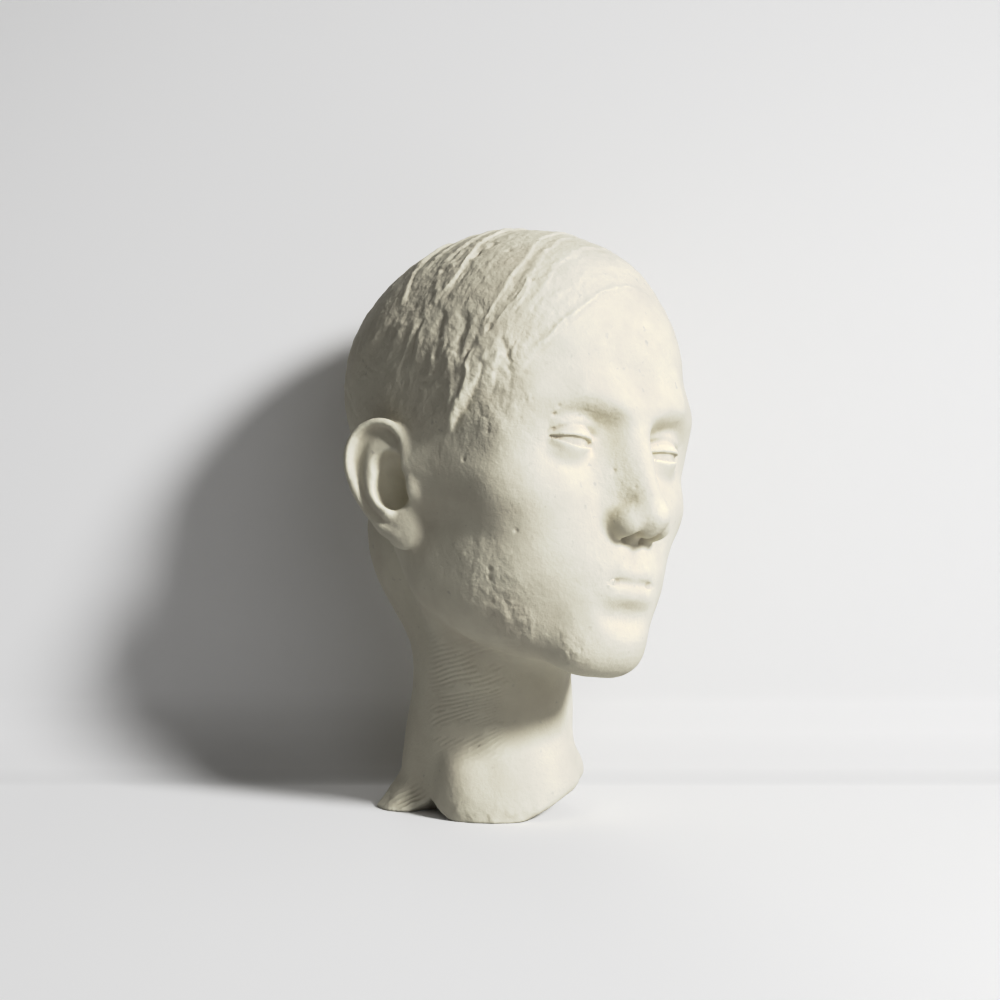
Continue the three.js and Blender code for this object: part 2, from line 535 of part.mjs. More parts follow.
// Lays a skin on the form: one vertex in each lattice cell that the surface crosses, moved onto the surface, and
// two triangles round each lattice edge that it crosses.
function layNet() {
  const n = LATTICE_LOW.map((low, i) => Math.ceil((LATTICE_HIGH[i] - low) / LATTICE_STEP) + 1);
  const stride = [1, n[0], n[0] * n[1]];
  const at = (i, j, k) => [i, j, k].map((v, axis) => LATTICE_LOW[axis] + v * LATTICE_STEP);
  const value = sample(n, stride, at);
  fillPockets(value, stride);
  settle(value, stride);
  const corners = [0, 1, 2, 3, 4, 5, 6, 7].map((c) => [c & 1, (c >> 1) & 1, (c >> 2) & 1]);
  const points = [];
  const cell = new Map();
  for (let k = 0; k < n[2] - 1; k += 1)
    for (let j = 0; j < n[1] - 1; j += 1)
      for (let i = 0; i < n[0] - 1; i += 1) {
        const index = i + j * stride[1] + k * stride[2];
        const ends = corners.map(([a, b, c]) => value[index + a + b * stride[1] + c * stride[2]]);
        if (ends.every((v) => v < 0) || ends.every((v) => v >= 0)) continue;
        const sum = [0, 0, 0];
        let count = 0;
        for (let c = 0; c < 8; c += 1)
          for (let axis = 0; axis < 3; axis += 1) {
            if (corners[c][axis]) continue;
            const [a, b] = [ends[c], ends[c + (1 << axis)]];
            if (a < 0 === b < 0) continue;
            count += 1;
            for (let m = 0; m < 3; m += 1) sum[m] += corners[c][m] + (m === axis ? a / (a - b) : 0);
          }
        cell.set(index, points.length);
        points.push(at(i + sum[0] / count, j + sum[1] / count, k + sum[2] / count));
      }
  const triangles = [];
  for (const [index] of cell)
    for (let axis = 0; axis < 3; axis += 1) {
      const [s1, s2] = [stride[(axis + 1) % 3], stride[(axis + 2) % 3]];
      const [a, b] = [value[index] < 0, value[index + stride[axis]] < 0];
      if (a === b) continue;
      const ring = [index, index - s1, index - s1 - s2, index - s2].map((key) => cell.get(key));
      if (!a) ring.reverse();
      triangles.push([ring[0], ring[1], ring[2]], [ring[0], ring[2], ring[3]]);
    }
  for (let sweep = 0; sweep < 3; sweep += 1)
    for (const p of points) {
      const d = clamp(form(...p), -LATTICE_STEP / 2, LATTICE_STEP / 2);
      const g = slope(...p);
      const steep = g[0] ** 2 + g[1] ** 2 + g[2] ** 2 + 1e-6;
      for (let m = 0; m < 3; m += 1) p[m] -= (g[m] * d) / steep;
    }
  return { points, triangles };
}

// Thins the net, always at the edge whose loss changes the form least, until it has no more triangles than asked.
// Each vertex keeps the sum of the squared distances to the planes of the triangles that it has stood for.
function thin({ points, triangles }, most) {
  const faces = triangles.map((t) => t.slice());
  const around = points.map(() => new Set());
  faces.forEach((face, f) => face.forEach((v) => around[v].add(f)));
  const normal = (a, b, c) => {
    const [ux, uy, uz] = [b[0] - a[0], b[1] - a[1], b[2] - a[2]];
    const [vx, vy, vz] = [c[0] - a[0], c[1] - a[1], c[2] - a[2]];
    return [uy * vz - uz * vy, uz * vx - ux * vz, ux * vy - uy * vx];
  };
  const sums = points.map(() => new Float64Array(10));
  for (const face of faces) {
    const [a, b, c] = face.map((v) => points[v]);
    const n = normal(a, b, c);
    const size = Math.hypot(...n) || 1e-9;
    const plane = [n[0] / size, n[1] / size, n[2] / size];
    plane.push(-(plane[0] * a[0] + plane[1] * a[1] + plane[2] * a[2]));
    for (const v of face)
      for (let i = 0, m = 0; i < 4; i += 1)
        for (let j = i; j < 4; j += 1, m += 1) sums[v][m] += plane[i] * plane[j] * size;
  }
  const change = (q, [x, y, z]) =>
    q[0] * x * x + 2 * q[1] * x * y + 2 * q[2] * x * z + 2 * q[3] * x + q[4] * y * y + 2 * q[5] * y * z +
    2 * q[6] * y + q[7] * z * z + 2 * q[8] * z + q[9];
  const solve = new THREE.Matrix3();
  const best = new THREE.Vector3();
  const stamp = new Int32Array(points.length);
  const heap = [];
  const push = (entry) => {
    let i = heap.push(entry) - 1;
    while (i > 0 && heap[(i - 1) >> 1].cost > heap[i].cost) {
      [heap[i], heap[(i - 1) >> 1]] = [heap[(i - 1) >> 1], heap[i]];
      i = (i - 1) >> 1;
    }
  };
  const pop = () => {
    const top = heap[0];
    const last = heap.pop();
    if (heap.length) heap[0] = last;
    for (let i = 0; ; ) {
      let least = i;
      for (const child of [2 * i + 1, 2 * i + 2])
        if (child < heap.length && heap[child].cost < heap[least].cost) least = child;
      if (least === i) return top;
      [heap[i], heap[least]] = [heap[least], heap[i]];
      i = least;
    }
  };
  const weigh = (a, b) => {
    const q = sums[a].map((v, i) => v + sums[b][i]);
    const middle = points[a].map((v, i) => (v + points[b][i]) / 2);
    const length = Math.hypot(...points[a].map((v, i) => v - points[b][i]));
    solve.set(q[0], q[1], q[2], q[1], q[4], q[5], q[2], q[5], q[7]);
    let to = middle;
    if (Math.abs(solve.determinant()) > 1e-3) {
      best.set(-q[3], -q[6], -q[8]).applyMatrix3(solve.invert());
      if (Math.hypot(best.x - middle[0], best.y - middle[1], best.z - middle[2]) < length) to = best.toArray();
    }
    push({ cost: change(q, to) + 0.02 * length ** 3, a, b, to, stamp: stamp[a] + stamp[b] });
  };
  const neighbours = (v) => {
    const found = new Set();
    for (const f of around[v]) for (const w of faces[f]) if (w !== v) found.add(w);
    return found;
  };
  points.forEach((_, v) => neighbours(v).forEach((w) => v < w && weigh(v, w)));
  let count = faces.length;
  while (count > most && heap.length) {
    const { a, b, to, stamp: when } = pop();
    if (!around[a] || !around[b] || when !== stamp[a] + stamp[b]) continue;
    const near = neighbours(a);
    const shared = [...neighbours(b)].filter((v) => near.has(v));
    const lost = [...around[a]].filter((f) => around[b].has(f));
    if (shared.length !== 2 || lost.length !== 2) continue;
    const kept = [...around[a], ...around[b]].filter((f) => !lost.includes(f));
    const turned = kept.some((f) => {
      const old = faces[f].map((v) => points[v]);
      const moved = faces[f].map((v) => (v === a || v === b ? to : points[v]));
      const [n0, n1] = [normal(...old), normal(...moved)];
      const dot = n0[0] * n1[0] + n0[1] * n1[1] + n0[2] * n1[2];
      return dot < 0.5 * Math.hypot(...n0) * Math.hypot(...n1) || Math.hypot(...n1) < 0.02;
    });
    if (turned) continue;
    points[a] = to;
    sums[a] = sums[a].map((v, i) => v + sums[b][i]);
    for (const f of lost) {
      faces[f].forEach((v) => around[v].delete(f));
      faces[f] = null;
    }
    for (const f of around[b]) {
      faces[f] = faces[f].map((v) => (v === b ? a : v));
      around[a].add(f);
    }
    around[b] = null;
    stamp[a] += 1;
    count -= 2;
    neighbours(a).forEach((w) => {
      stamp[w] += 1;
    });
    neighbours(a).forEach((w) => weigh(a, w));
    neighbours(a).forEach((w) => neighbours(w).forEach((v) => v !== a && v > w && weigh(w, v)));
  }
  return { points, triangles: faces.filter(Boolean) };
}

const wasm = await Module();
wasm.setup();

function solidOf(vertProperties, triVerts) {
  return new wasm.Manifold(new wasm.Mesh({ numProp: 3, vertProperties, triVerts }));
}

// Cuts the skin off flat at z = 0.
function cutFlat({ points, triangles }) {
  const used = new Map();
  const triVerts = triangles.flat().map((v) => used.get(v) ?? used.set(v, used.size).get(v));
  const vertProperties = [...used.keys()].flatMap((v) => points[v]);
  const head = solidOf(new Float32Array(vertProperties), new Uint32Array(triVerts));
  const ground = new THREE.BoxGeometry(400, 400, 40).translate(0, 0, -20);
  const corners = ground.getAttribute('position').array;
  const names = new Map();
  const firsts = [];
  for (let i = 0; i < corners.length; i += 3) {
    const key = corners.slice(i, i + 3).join();
    if (!names.has(key)) names.set(key, firsts.push(...corners.slice(i, i + 3)) / 3 - 1);
  }
  const sides = [...ground.index.array].map((i) => names.get(corners.slice(3 * i, 3 * i + 3).join()));
  const flat = head.subtract(solidOf(new Float32Array(firsts), new Uint32Array(sides)));
  const mesh = flat.getMesh();
  const geometry = new THREE.BufferGeometry();
  geometry.setAttribute('position', new THREE.BufferAttribute(new Float32Array(mesh.vertProperties), 3));
  geometry.setIndex([...mesh.triVerts]);
  geometry.computeVertexNormals();
  return geometry;
}

const plaster = new THREE.MeshStandardMaterial({ color: COLOUR, roughness: 0.85, metalness: 0 });
const head = new THREE.Mesh(cutFlat(thin(layNet(), TRIANGLES)), plaster);
head.name = 'plaster_head';

const sculpture = new THREE.Group();
sculpture.add(head);
export default sculpture;
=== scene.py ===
"""A life-size head of a youth in cast plaster: its carved surface, its finish, and the studio it is shown in.

The form is worked out in millimetres, in the part's own frame: +Z is up, the face looks towards -Y and the
subject's right is -X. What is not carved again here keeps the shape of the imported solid.
"""

import logging
import math
from dataclasses import dataclass, field
from enum import Enum
from typing import ClassVar, Iterable

import bpy
import numpy as np
from mathutils import Matrix, Vector


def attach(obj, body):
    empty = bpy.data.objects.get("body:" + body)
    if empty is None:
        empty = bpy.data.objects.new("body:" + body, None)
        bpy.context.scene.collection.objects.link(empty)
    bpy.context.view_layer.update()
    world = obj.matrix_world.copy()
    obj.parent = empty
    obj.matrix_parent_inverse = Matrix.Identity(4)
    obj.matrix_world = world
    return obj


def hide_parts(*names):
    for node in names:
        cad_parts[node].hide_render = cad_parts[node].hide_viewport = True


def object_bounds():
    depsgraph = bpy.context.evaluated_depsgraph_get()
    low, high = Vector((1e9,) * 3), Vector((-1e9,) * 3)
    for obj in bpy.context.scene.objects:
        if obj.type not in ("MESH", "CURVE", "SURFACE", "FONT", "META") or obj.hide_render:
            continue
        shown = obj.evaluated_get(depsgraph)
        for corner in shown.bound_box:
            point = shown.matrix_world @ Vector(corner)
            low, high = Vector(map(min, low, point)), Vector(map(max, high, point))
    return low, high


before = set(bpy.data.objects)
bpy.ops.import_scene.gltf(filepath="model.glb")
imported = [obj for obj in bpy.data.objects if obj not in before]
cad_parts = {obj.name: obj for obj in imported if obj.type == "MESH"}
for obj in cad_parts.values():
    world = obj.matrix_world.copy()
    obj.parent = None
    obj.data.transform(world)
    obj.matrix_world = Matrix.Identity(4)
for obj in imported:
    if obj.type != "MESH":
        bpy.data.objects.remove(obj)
SOLID_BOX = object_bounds()

Array = np.ndarray
Triple = tuple[float, float, float]
MM = 0.001
NODE = "plaster_head"

HEAD_HEIGHT = 222.0  # chin to crown, under the hair
THIRD = HEAD_HEIGHT * 0.288  # hairline to brow, brow to nose, nose to chin
EYE_LINE = HEAD_HEIGHT / 2
BROW_LINE = 2 * THIRD
NOSE_BASE = THIRD
MOUTH_LINE = 0.69 * THIRD

log = logging.getLogger("plaster head")


def join(a: Array, b: Array, fillet: float) -> Array:
    """Joins two distances with a fillet.

    Args:
        a: distance from the form so far.
        b: distance from what is laid on it.
        fillet: about how wide the meeting is rounded.

    Returns:
        The distance from both together.
    """
    h = np.maximum(fillet - np.abs(a - b), 0) / fillet
    return np.minimum(a, b) - h * h * fillet / 4


def ramp(value: Array, low: float, high: float) -> Array:
    """Rises smoothly from 0 at low to 1 at high."""
    t = np.clip((value - low) / (high - low), 0, 1)
    return t * t * (3 - 2 * t)


def unit(vector: Iterable[float]) -> Array:
    """The direction of a vector, one long."""
    array = np.asarray(tuple(vector), float)
    return array / np.linalg.norm(array)


def unit_rows(vectors: Array) -> Array:
    """The directions of many vectors, each one long."""
    return vectors / (np.linalg.norm(vectors, axis=1, keepdims=True) + 1e-9)


@dataclass
class Cloud:
    """Points in one frame, each coordinate an array of its own."""

    x: Array
    y: Array
    z: Array

    @classmethod
    def of(cls, points: Array) -> "Cloud":
        """Takes the columns of an (n, 3) array."""
        return cls(*(np.ascontiguousarray(points[:, i]) for i in range(3)))

    def table(self) -> Array:
        """The points as an (n, 3) array."""
        return np.stack((self.x, self.y, self.z), 1)

    def some(self, which: Array) -> "Cloud":
        """Only the points that are asked for."""
        return Cloud(self.x[which], self.y[which], self.z[which])

    def within(self, at: Iterable[float], reach: float) -> Array:
        """Which points lie within reach of a place."""
        cx, cy, cz = at
        return np.flatnonzero((self.x - cx) ** 2 + (self.y - cy) ** 2 + (self.z - cz) ** 2 < reach * reach)

    def placed(self, turn: Array, move: Array) -> "Cloud":
        """The points turned by a 3 by 3 matrix and then moved."""
        return Cloud(
            *(turn[i, 0] * self.x + turn[i, 1] * self.y + turn[i, 2] * self.z + move[i] for i in range(3))
        )


def lattice_value(i: Array, j: Array, k: Array, seed: int) -> Array:
    """A fixed number from 0 to 1 for each point of a lattice."""
    h = (i * 374761393 + j * 668265263 + k * 2147483647 + seed * 1274126177) & 0xFFFFFFFF
    h = ((h ^ (h >> 13)) * 1274126177) & 0xFFFFFFFF
    return ((h ^ (h >> 16)) & 0xFFFF) / 65535.0


def clouds(x: Array, y: Array, z: Array, seed: int) -> Array:
    """Soft uneven values from -1 to 1, one lattice cell being one long."""
    cell = [np.floor(v).astype(np.int64) for v in (x, y, z)]
    part = [v - c for v, c in zip((x, y, z), cell)]
    soft = [t * t * (3 - 2 * t) for t in part]
    total = np.zeros_like(x)
    for corner in range(8):
        bits = (corner & 1, (corner >> 1) & 1, (corner >> 2) & 1)
        share = np.ones_like(x)
        for t, bit in zip(soft, bits):
            share = share * (t if bit else 1 - t)
        total += share * lattice_value(cell[0] + bits[0], cell[1] + bits[1], cell[2] + bits[2], seed)
    return 2 * total - 1


def rough(cloud: Cloud, size: float, seed: int, octaves: int = 2) -> Array:
    """Uneven values over the surface, about -1 to 1.

    Args:
        cloud: the points.
        size: how wide the largest lumps are, in millimetres.
        seed: which pattern.
        octaves: how many finer patterns are laid over the first.

    Returns:
        One value a point.
    """
    total = np.zeros_like(cloud.x)
    strength = 1.0
    for octave in range(octaves):
        scale = 2**octave / size
        total += strength * clouds(cloud.x * scale, cloud.y * scale, cloud.z * scale, seed + octave)
        strength *= 0.5
    return total


class Side(Enum):
    """Where a mass stands: once, or on both sides with a sharp or a softened meeting in the middle."""

    ONCE = -1.0
    BOTH = 0.0
    NEARLY = 4.0
    SOFTLY = 6.0
    BROADLY = 14.0

    def fold(self, x: Array) -> Array:
        """Brings both sides onto one."""
        if self is Side.ONCE:
            return x
        return np.hypot(x, self.value)


@dataclass(frozen=True)
class Mass:
    """One step of the modelling: a mass laid on the form or, if hollow, pressed into it."""

    fillet: float = 1.0
    side: Side = Side.ONCE
    hollow: bool = False
    margin: ClassVar[float] = 18.0

    def centre(self) -> Triple:
        """The middle of the mass."""
        raise NotImplementedError

    def reach(self) -> float:
        """How far the mass goes from its middle."""
        raise NotImplementedError

    def distance(self, cloud: Cloud) -> Array:
        """How far each point is from the mass."""
        raise NotImplementedError

    def work(self, cloud: Cloud, depth: Array) -> None:
        """Lays the mass on, or presses it in, where it can matter.

        Args:
            cloud: points close to the surface.
            depth: their distance from the form, which is changed.
        """
        folded = Cloud(self.side.fold(cloud.x), cloud.y, cloud.z)
        near = folded.within(self.centre(), self.reach() + 2 * self.fillet + self.margin)
        if not len(near):
            return
        away = self.distance(folded.some(near))
        if self.hollow:
            depth[near] = -join(-depth[near], away, self.fillet)
        else:
            depth[near] = join(depth[near], away, self.fillet)


@dataclass(frozen=True)
class Lump(Mass):
    """An ellipsoid, turned about the vertical if need be."""

    at: Triple = (0.0, 0.0, 0.0)
    size: Triple = (1.0, 1.0, 1.0)
    turn: float = 0.0

    def centre(self) -> Triple:
        """The ellipsoid's middle."""
        return self.at

    def reach(self) -> float:
        """Its longest half axis."""
        return max(self.size)

    def distance(self, cloud: Cloud) -> Array:
        """Close to the true distance near the surface."""
        c, s = math.cos(math.radians(self.turn)), math.sin(math.radians(self.turn))
        dx, dy, dz = cloud.x - self.at[0], cloud.y - self.at[1], cloud.z - self.at[2]
        offset = (c * dx + s * dy, c * dy - s * dx, dz)
        near = np.sqrt(sum((o / r) ** 2 for o, r in zip(offset, self.size))) + 1e-9
        far = np.sqrt(sum((o / (r * r)) ** 2 for o, r in zip(offset, self.size))) + 1e-9
        return near * (near - 1) / far


def eased(points: Iterable, stretches: int) -> Array:
    """Draws a smooth curve through points.

    Args:
        points: the points, with as many numbers each as needed.
        stretches: how many straight stretches replace each one.

    Returns:
        The points of the finer line.
    """
    given = np.asarray(tuple(points), float)
    ends = np.vstack((2 * given[0] - given[1], given, 2 * given[-1] - given[-2]))
    line = [given[0]]
    for i in range(1, len(given)):
        a, b, c, d = ends[i - 1 : i + 3]
        for t in np.linspace(0, 1, stretches + 1)[1:]:
            line.append(0.5 * (2 * b + (c - a) * t + (2 * a - 5 * b + 4 * c - d) * t**2 + (3 * b - a - 3 * c + d) * t**3))
    return np.array(line)


@dataclass(frozen=True)
class Roll(Mass):
    """A roll of clay along points, with a radius at each."""

    points: tuple[Triple, ...] = ()
    radii: tuple[float, ...] = ()
    inner: float = 0.0

    def centre(self) -> Triple:
        """The mean of its points."""
        return tuple(np.mean(self.points, 0))

    def reach(self) -> float:
        """To its furthest point."""
        middle = np.asarray(self.centre())
        return max(np.linalg.norm(np.asarray(p) - middle) for p in self.points) + max(self.radii)

    def distance(self, cloud: Cloud) -> Array:
        """Distance from the nearest stretch."""
        result = None
        for i in range(len(self.points) - 1):
            (ax, ay, az), (bx, by, bz) = self.points[i], self.points[i + 1]
            dx, dy, dz = bx - ax, by - ay, bz - az
            px, py, pz = cloud.x - ax, cloud.y - ay, cloud.z - az
            t = np.clip((px * dx + py * dy + pz * dz) / (dx * dx + dy * dy + dz * dz), 0, 1)
            away = np.sqrt((px - t * dx) ** 2 + (py - t * dy) ** 2 + (pz - t * dz) ** 2)
            away -= self.radii[i] + (self.radii[i + 1] - self.radii[i]) * t
            if result is None:
                result = away
            else:
                result = join(result, away, self.inner) if self.inner else np.minimum(result, away)
        return result


@dataclass(frozen=True)
class Block(Mass):
    """A block with flat faces, each given by the way it faces and a point of it."""

    faces: tuple[tuple[Triple, Triple], ...] = ()
    at: Triple = (0.0, 0.0, 0.0)
    size: float = 30.0
    edge: float = 1.5

    def centre(self) -> Triple:
        """Where the block is."""
        return self.at

    def reach(self) -> float:
        """How far its furthest corner is."""
        return self.size

    def distance(self, cloud: Cloud) -> Array:
        """How far each point is outside the faces, with slightly worn edges."""
        result = None
        for facing, point in self.faces:
            nx, ny, nz = unit(facing)
            outside = (cloud.x - point[0]) * nx + (cloud.y - point[1]) * ny + (cloud.z - point[2]) * nz
            result = outside if result is None else -join(-result, -outside, self.edge)
        return result


def lump(at: Triple, size: Triple, fillet: float, side: Side = Side.ONCE, turn: float = 0.0) -> Lump:
    """A rounded mass laid on."""
    return Lump(fillet, side, False, at, size, turn)


def press(at: Triple, size: Triple, fillet: float, side: Side = Side.ONCE) -> Lump:
    """A rounded hollow pressed in."""
    return Lump(fillet, side, True, at, size)


def band(points: tuple, radii: tuple, fillet: float, side: Side = Side.ONCE, inner: float = 0.0) -> Roll:
    """A roll laid on."""
    return Roll(fillet, side, False, points, radii, inner)


def coil(points: tuple, radii: tuple, fillet: float, hollow: bool = False) -> Roll:
    """A roll laid on, or its print pressed in, along a smooth curve."""
    line = eased(((*p, r) for p, r in zip(points, radii)), 3)
    return Roll(fillet, Side.ONCE, hollow, tuple(map(tuple, line[:, :3])), tuple(line[:, 3]))


def cut(points: tuple, radii: tuple, fillet: float) -> Roll:
    """A roll's print pressed in along a smooth curve."""
    return coil(points, radii, fillet, True)


def furrow(points: tuple, radii: tuple, fillet: float, side: Side = Side.ONCE, inner: float = 0.0) -> Roll:
    """A roll's print pressed in."""
    return Roll(fillet, side, True, points, radii, inner)


@dataclass
class Masses:
    """A part of the head that is only masses, laid on in order."""

    steps: tuple[Mass, ...] = ()

    def work(self, cloud: Cloud, depth: Array) -> None:
        """Works every step into the form.

        Args:
            cloud: the points.
            depth: their distance from the form, which is changed.
        """
        for step in self.steps:
            step.work(cloud, depth)


@dataclass
class Skull(Masses):
    """The brain case."""

    steps: tuple[Mass, ...] = (
        lump((0, 17, 143), (69, 71, 71), 12),
        lump((0, -18, 152), (61, 68, 67), 24),
        lump((27, -40, 150), (32, 42, 42), 26, Side.BROADLY),
    )


@dataclass
class Face(Masses):
    """Jaw, cheeks, brow and temples."""

    steps: tuple[Mass, ...] = (
        lump((0, -43, 82), (51, 46, 56), 24),
        lump((29, -45, 60), (26, 33, 38), 20, Side.SOFTLY),
        lump((39, -18, 62), (20, 27, 38), 20, Side.SOFTLY),
        band(((52, 2, 92), (42, -6, 45), (15, -70, 15)), (10, 13, 12), 18, Side.SOFTLY),
        lump((0, -36, 38), (40, 46, 28), 20),
        lump((0, -76, 17), (19, 14.5, 15), 15),
        lump((0, -72, 48), (30, 21, 25), 18),
        lump((39, -58, 87), (20, 19, 14), 20, Side.BOTH, 30),
        band(((46, -50, 92), (59, -4, 97)), (10, 9), 26, Side.BOTH),
        band(
            (
                (2, -86, BROW_LINE - 1),
                (14, -86, BROW_LINE + 1),
                (32, -81, BROW_LINE + 5),
                (48, -69, 130),
                (54, -57, 118),
            ),
            (6, 6.5, 7, 7, 8),
            16,
            Side.SOFTLY,
        ),
        lump((45, -42, 124), (18, 28, 30), 20, Side.BOTH),
        lump((44, -14, 116), (20, 34, 30), 24, Side.SOFTLY),
        press((30, -97, EYE_LINE + 1), (18, 16.5, 11), 12, Side.BOTH),
        press((17, -100, EYE_LINE + 1), (6, 14, 9), 8, Side.BOTH),
    )


@dataclass
class Nose(Masses):
    """Root, bridge, tip, wings and nostrils."""

    steps: tuple[Mass, ...] = (
        lump((0, -78, NOSE_BASE + 28), (15, 19, 29), 9),
        band(((0, -85, 122), (0, -92, 103), (0, -101, 83)), (6.5, 6.2, 7), 9, Side.ONCE, 3),
        lump((0, -103.5, NOSE_BASE + 13), (9.2, 8.4, 7.8), 7),
        lump((10.2, -95, NOSE_BASE + 9.5), (6.4, 10, 7.4), 5.5, Side.BOTH),
        band(((0, -102, NOSE_BASE + 7.5), (0, -92, NOSE_BASE + 3)), (4.4, 4), 4),
        press((6, -97, NOSE_BASE + 2), (3.1, 6, 4.5), 2.5, Side.BOTH),
    )


@dataclass
class Mouth(Masses):
    """Lips, the line between them, and the hollows above and below."""

    steps: tuple[Mass, ...] = (
        band(((0, -90.8, 50), (7, -90.6, 51), (24, -80, 45.4)), (4.2, 4.5, 2.4), 5, Side.BOTH),
        band(((0, -89.5, 38.5), (9, -88.2, 39), (22, -79.6, 43)), (5.6, 5.2, 2.4), 5, Side.BOTH),
        furrow(
            ((0, -96.6, MOUTH_LINE + 0.4), (9, -94.8, MOUTH_LINE + 0.8), (25, -82.6, MOUTH_LINE + 0.2)),
            (1.1, 1.1, 0.7),
            2.2,
            Side.BOTH,
        ),
        furrow(((0, -97, NOSE_BASE), (0, -97.4, NOSE_BASE - 9)), (2.5, 2.5), 4),
        press((0, -96.5, 28), (18, 6.5, 5), 8),
    )


@dataclass
class Neck(Masses):
    """The neck with its muscles, and the cut edge below it: two lobes with a notch between, lifted in front."""

    radius: float = 40.0
    back: float = 9.0
    flattened: float = 0.94
    muscles: tuple[Mass, ...] = (
        lump((-2, 38, 140), (46, 38, 50), 26),
        band(((50, 16, 138), (11, -21, 20)), (8, 9), 9, Side.NEARLY),
        band(((-1, -22, 90), (-1, -22, 20)), (11, 12), 12),
        lump((-5, -10, 8), (38, 31, 40), 10),
        lump((25.5, -17.5, 19), (9, 9, 9), 8),
        lump((8, 33, 10), (30, 18, 34), 12),
        lump((-33, -7, 12), (12, 14, 20), 8),
        lump((-26, 30, 0), (12.5, 12.5, 50), 12),
        Block(
            2.5,
            faces=(
                ((-0.945, 0.325, 0.9), (-51, 32, 2)),
                ((-0.85, -0.27, 0.58), (-51.4, 31.4, 0)),
                ((-0.3, 0.95, 0.35), (-44, 46, 0)),
                ((0, 0, -1), (0, 0, -8)),
                ((1, 0, 0), (-20, 0, 0)),
                ((0, -1, 0), (0, 7, 0)),
            ),
            at=(-40, 30, 6),
        ),
    )
    apex: Triple = (-42.0, 11.0, 8.0)
    apex_falls: float = 0.2
    flanks: tuple[tuple[float, float], ...] = ((11.0, -8.0), (23.0, 11.0))
    foot_to: float = 17.0
    foot_rise: tuple[float, float] = (20.0, 9.5)
    foot_turn: float = -44.0

    def work(self, cloud: Cloud, depth: Array) -> None:
        """Raises the neck, cuts the notch and lifts the front of the rim.

        Args:
            cloud: points in the part's frame.
            depth: their distance from the neck, which is changed.
        """
        flat = Cloud(cloud.x, self.flattened * cloud.y, cloud.z)
        column = Roll(points=((-1, self.back, -40), (-1, 7, 150)), radii=(self.radius, self.radius - 2))
        depth[:] = column.distance(flat)
        for step in self.muscles:
            step.work(cloud, depth)
        top = self.apex[2] - self.apex_falls * (cloud.x - self.apex[0])
        beyond, before = (
            ((cloud.z - top) * run - (cloud.y - self.apex[1]) * fall) / math.hypot(run, fall)
            for run, fall in self.flanks
        )
        notch = np.maximum(beyond, before)
        depth[:] = -join(-depth, notch, 1.5)
        turn = math.radians(self.foot_turn)
        run = cloud.x * math.cos(turn) + (cloud.y - self.back) * math.sin(turn) - self.foot_to
        rim = (self.foot_rise[0] * cloud.z - self.foot_rise[1] * run) / math.hypot(*self.foot_rise)
        depth[:] = -join(-depth, rim, 4)


@dataclass
class Eyes:
    """Closed, blank eyes: a ball, two lids that nearly meet, and the crease above."""

    apart: float = 31.0
    depth: float = -71.5
    half: float = 14.5
    ball: float = 12.4
    upper_lid: float = 2.0
    lower_lid: float = 1.6

    def work(self, cloud: Cloud, depth: Array) -> None:
        """Sets both eyes.

        Args:
            cloud: points in the head's frame.
            depth: their distance from the form, which is changed.
        """
        folded = Cloud(np.abs(cloud.x), cloud.y, cloud.z)
        near = folded.within((self.apart, self.depth, EYE_LINE), 34)
        here = folded.some(near)
        dx, dy, dz = here.x - self.apart, here.y - self.depth, here.z - EYE_LINE
        t = dx / self.half
        gap = np.clip(1 - t * t, 0, 1)
        upper = dz - (1.4 * gap + 0.7 * t - 0.4)
        lower = 0.7 * t - 0.4 - 2.8 * gap - dz
        between = 1 - ramp(np.abs(t), 0.9, 1.05)
        lids = self.upper_lid * ramp(upper, -0.5, 0.5) + self.lower_lid * ramp(lower, -0.5, 0.5)
        radius = self.ball + (1 - between) * 1.2 + between * lids
        ball = np.sqrt(dx * dx + dy * dy + dz * dz) - radius
        fillet = 1.5 + 3.5 * ramp(np.abs(dz), 2, 8)
        h = np.maximum(fillet - np.abs(depth[near] - ball), 0) / fillet
        shut = np.minimum(depth[near], ball) - h * h * fillet / 4
        crease = dz - (6.6 - 4.2 * t * t - 0.5 * t)
        fold = np.exp(-((crease / 1.5) ** 2)) * (1 - ramp(np.abs(t), 0.7, 1.15))
        depth[near] = shut + fold * (here.y < self.depth + 11)


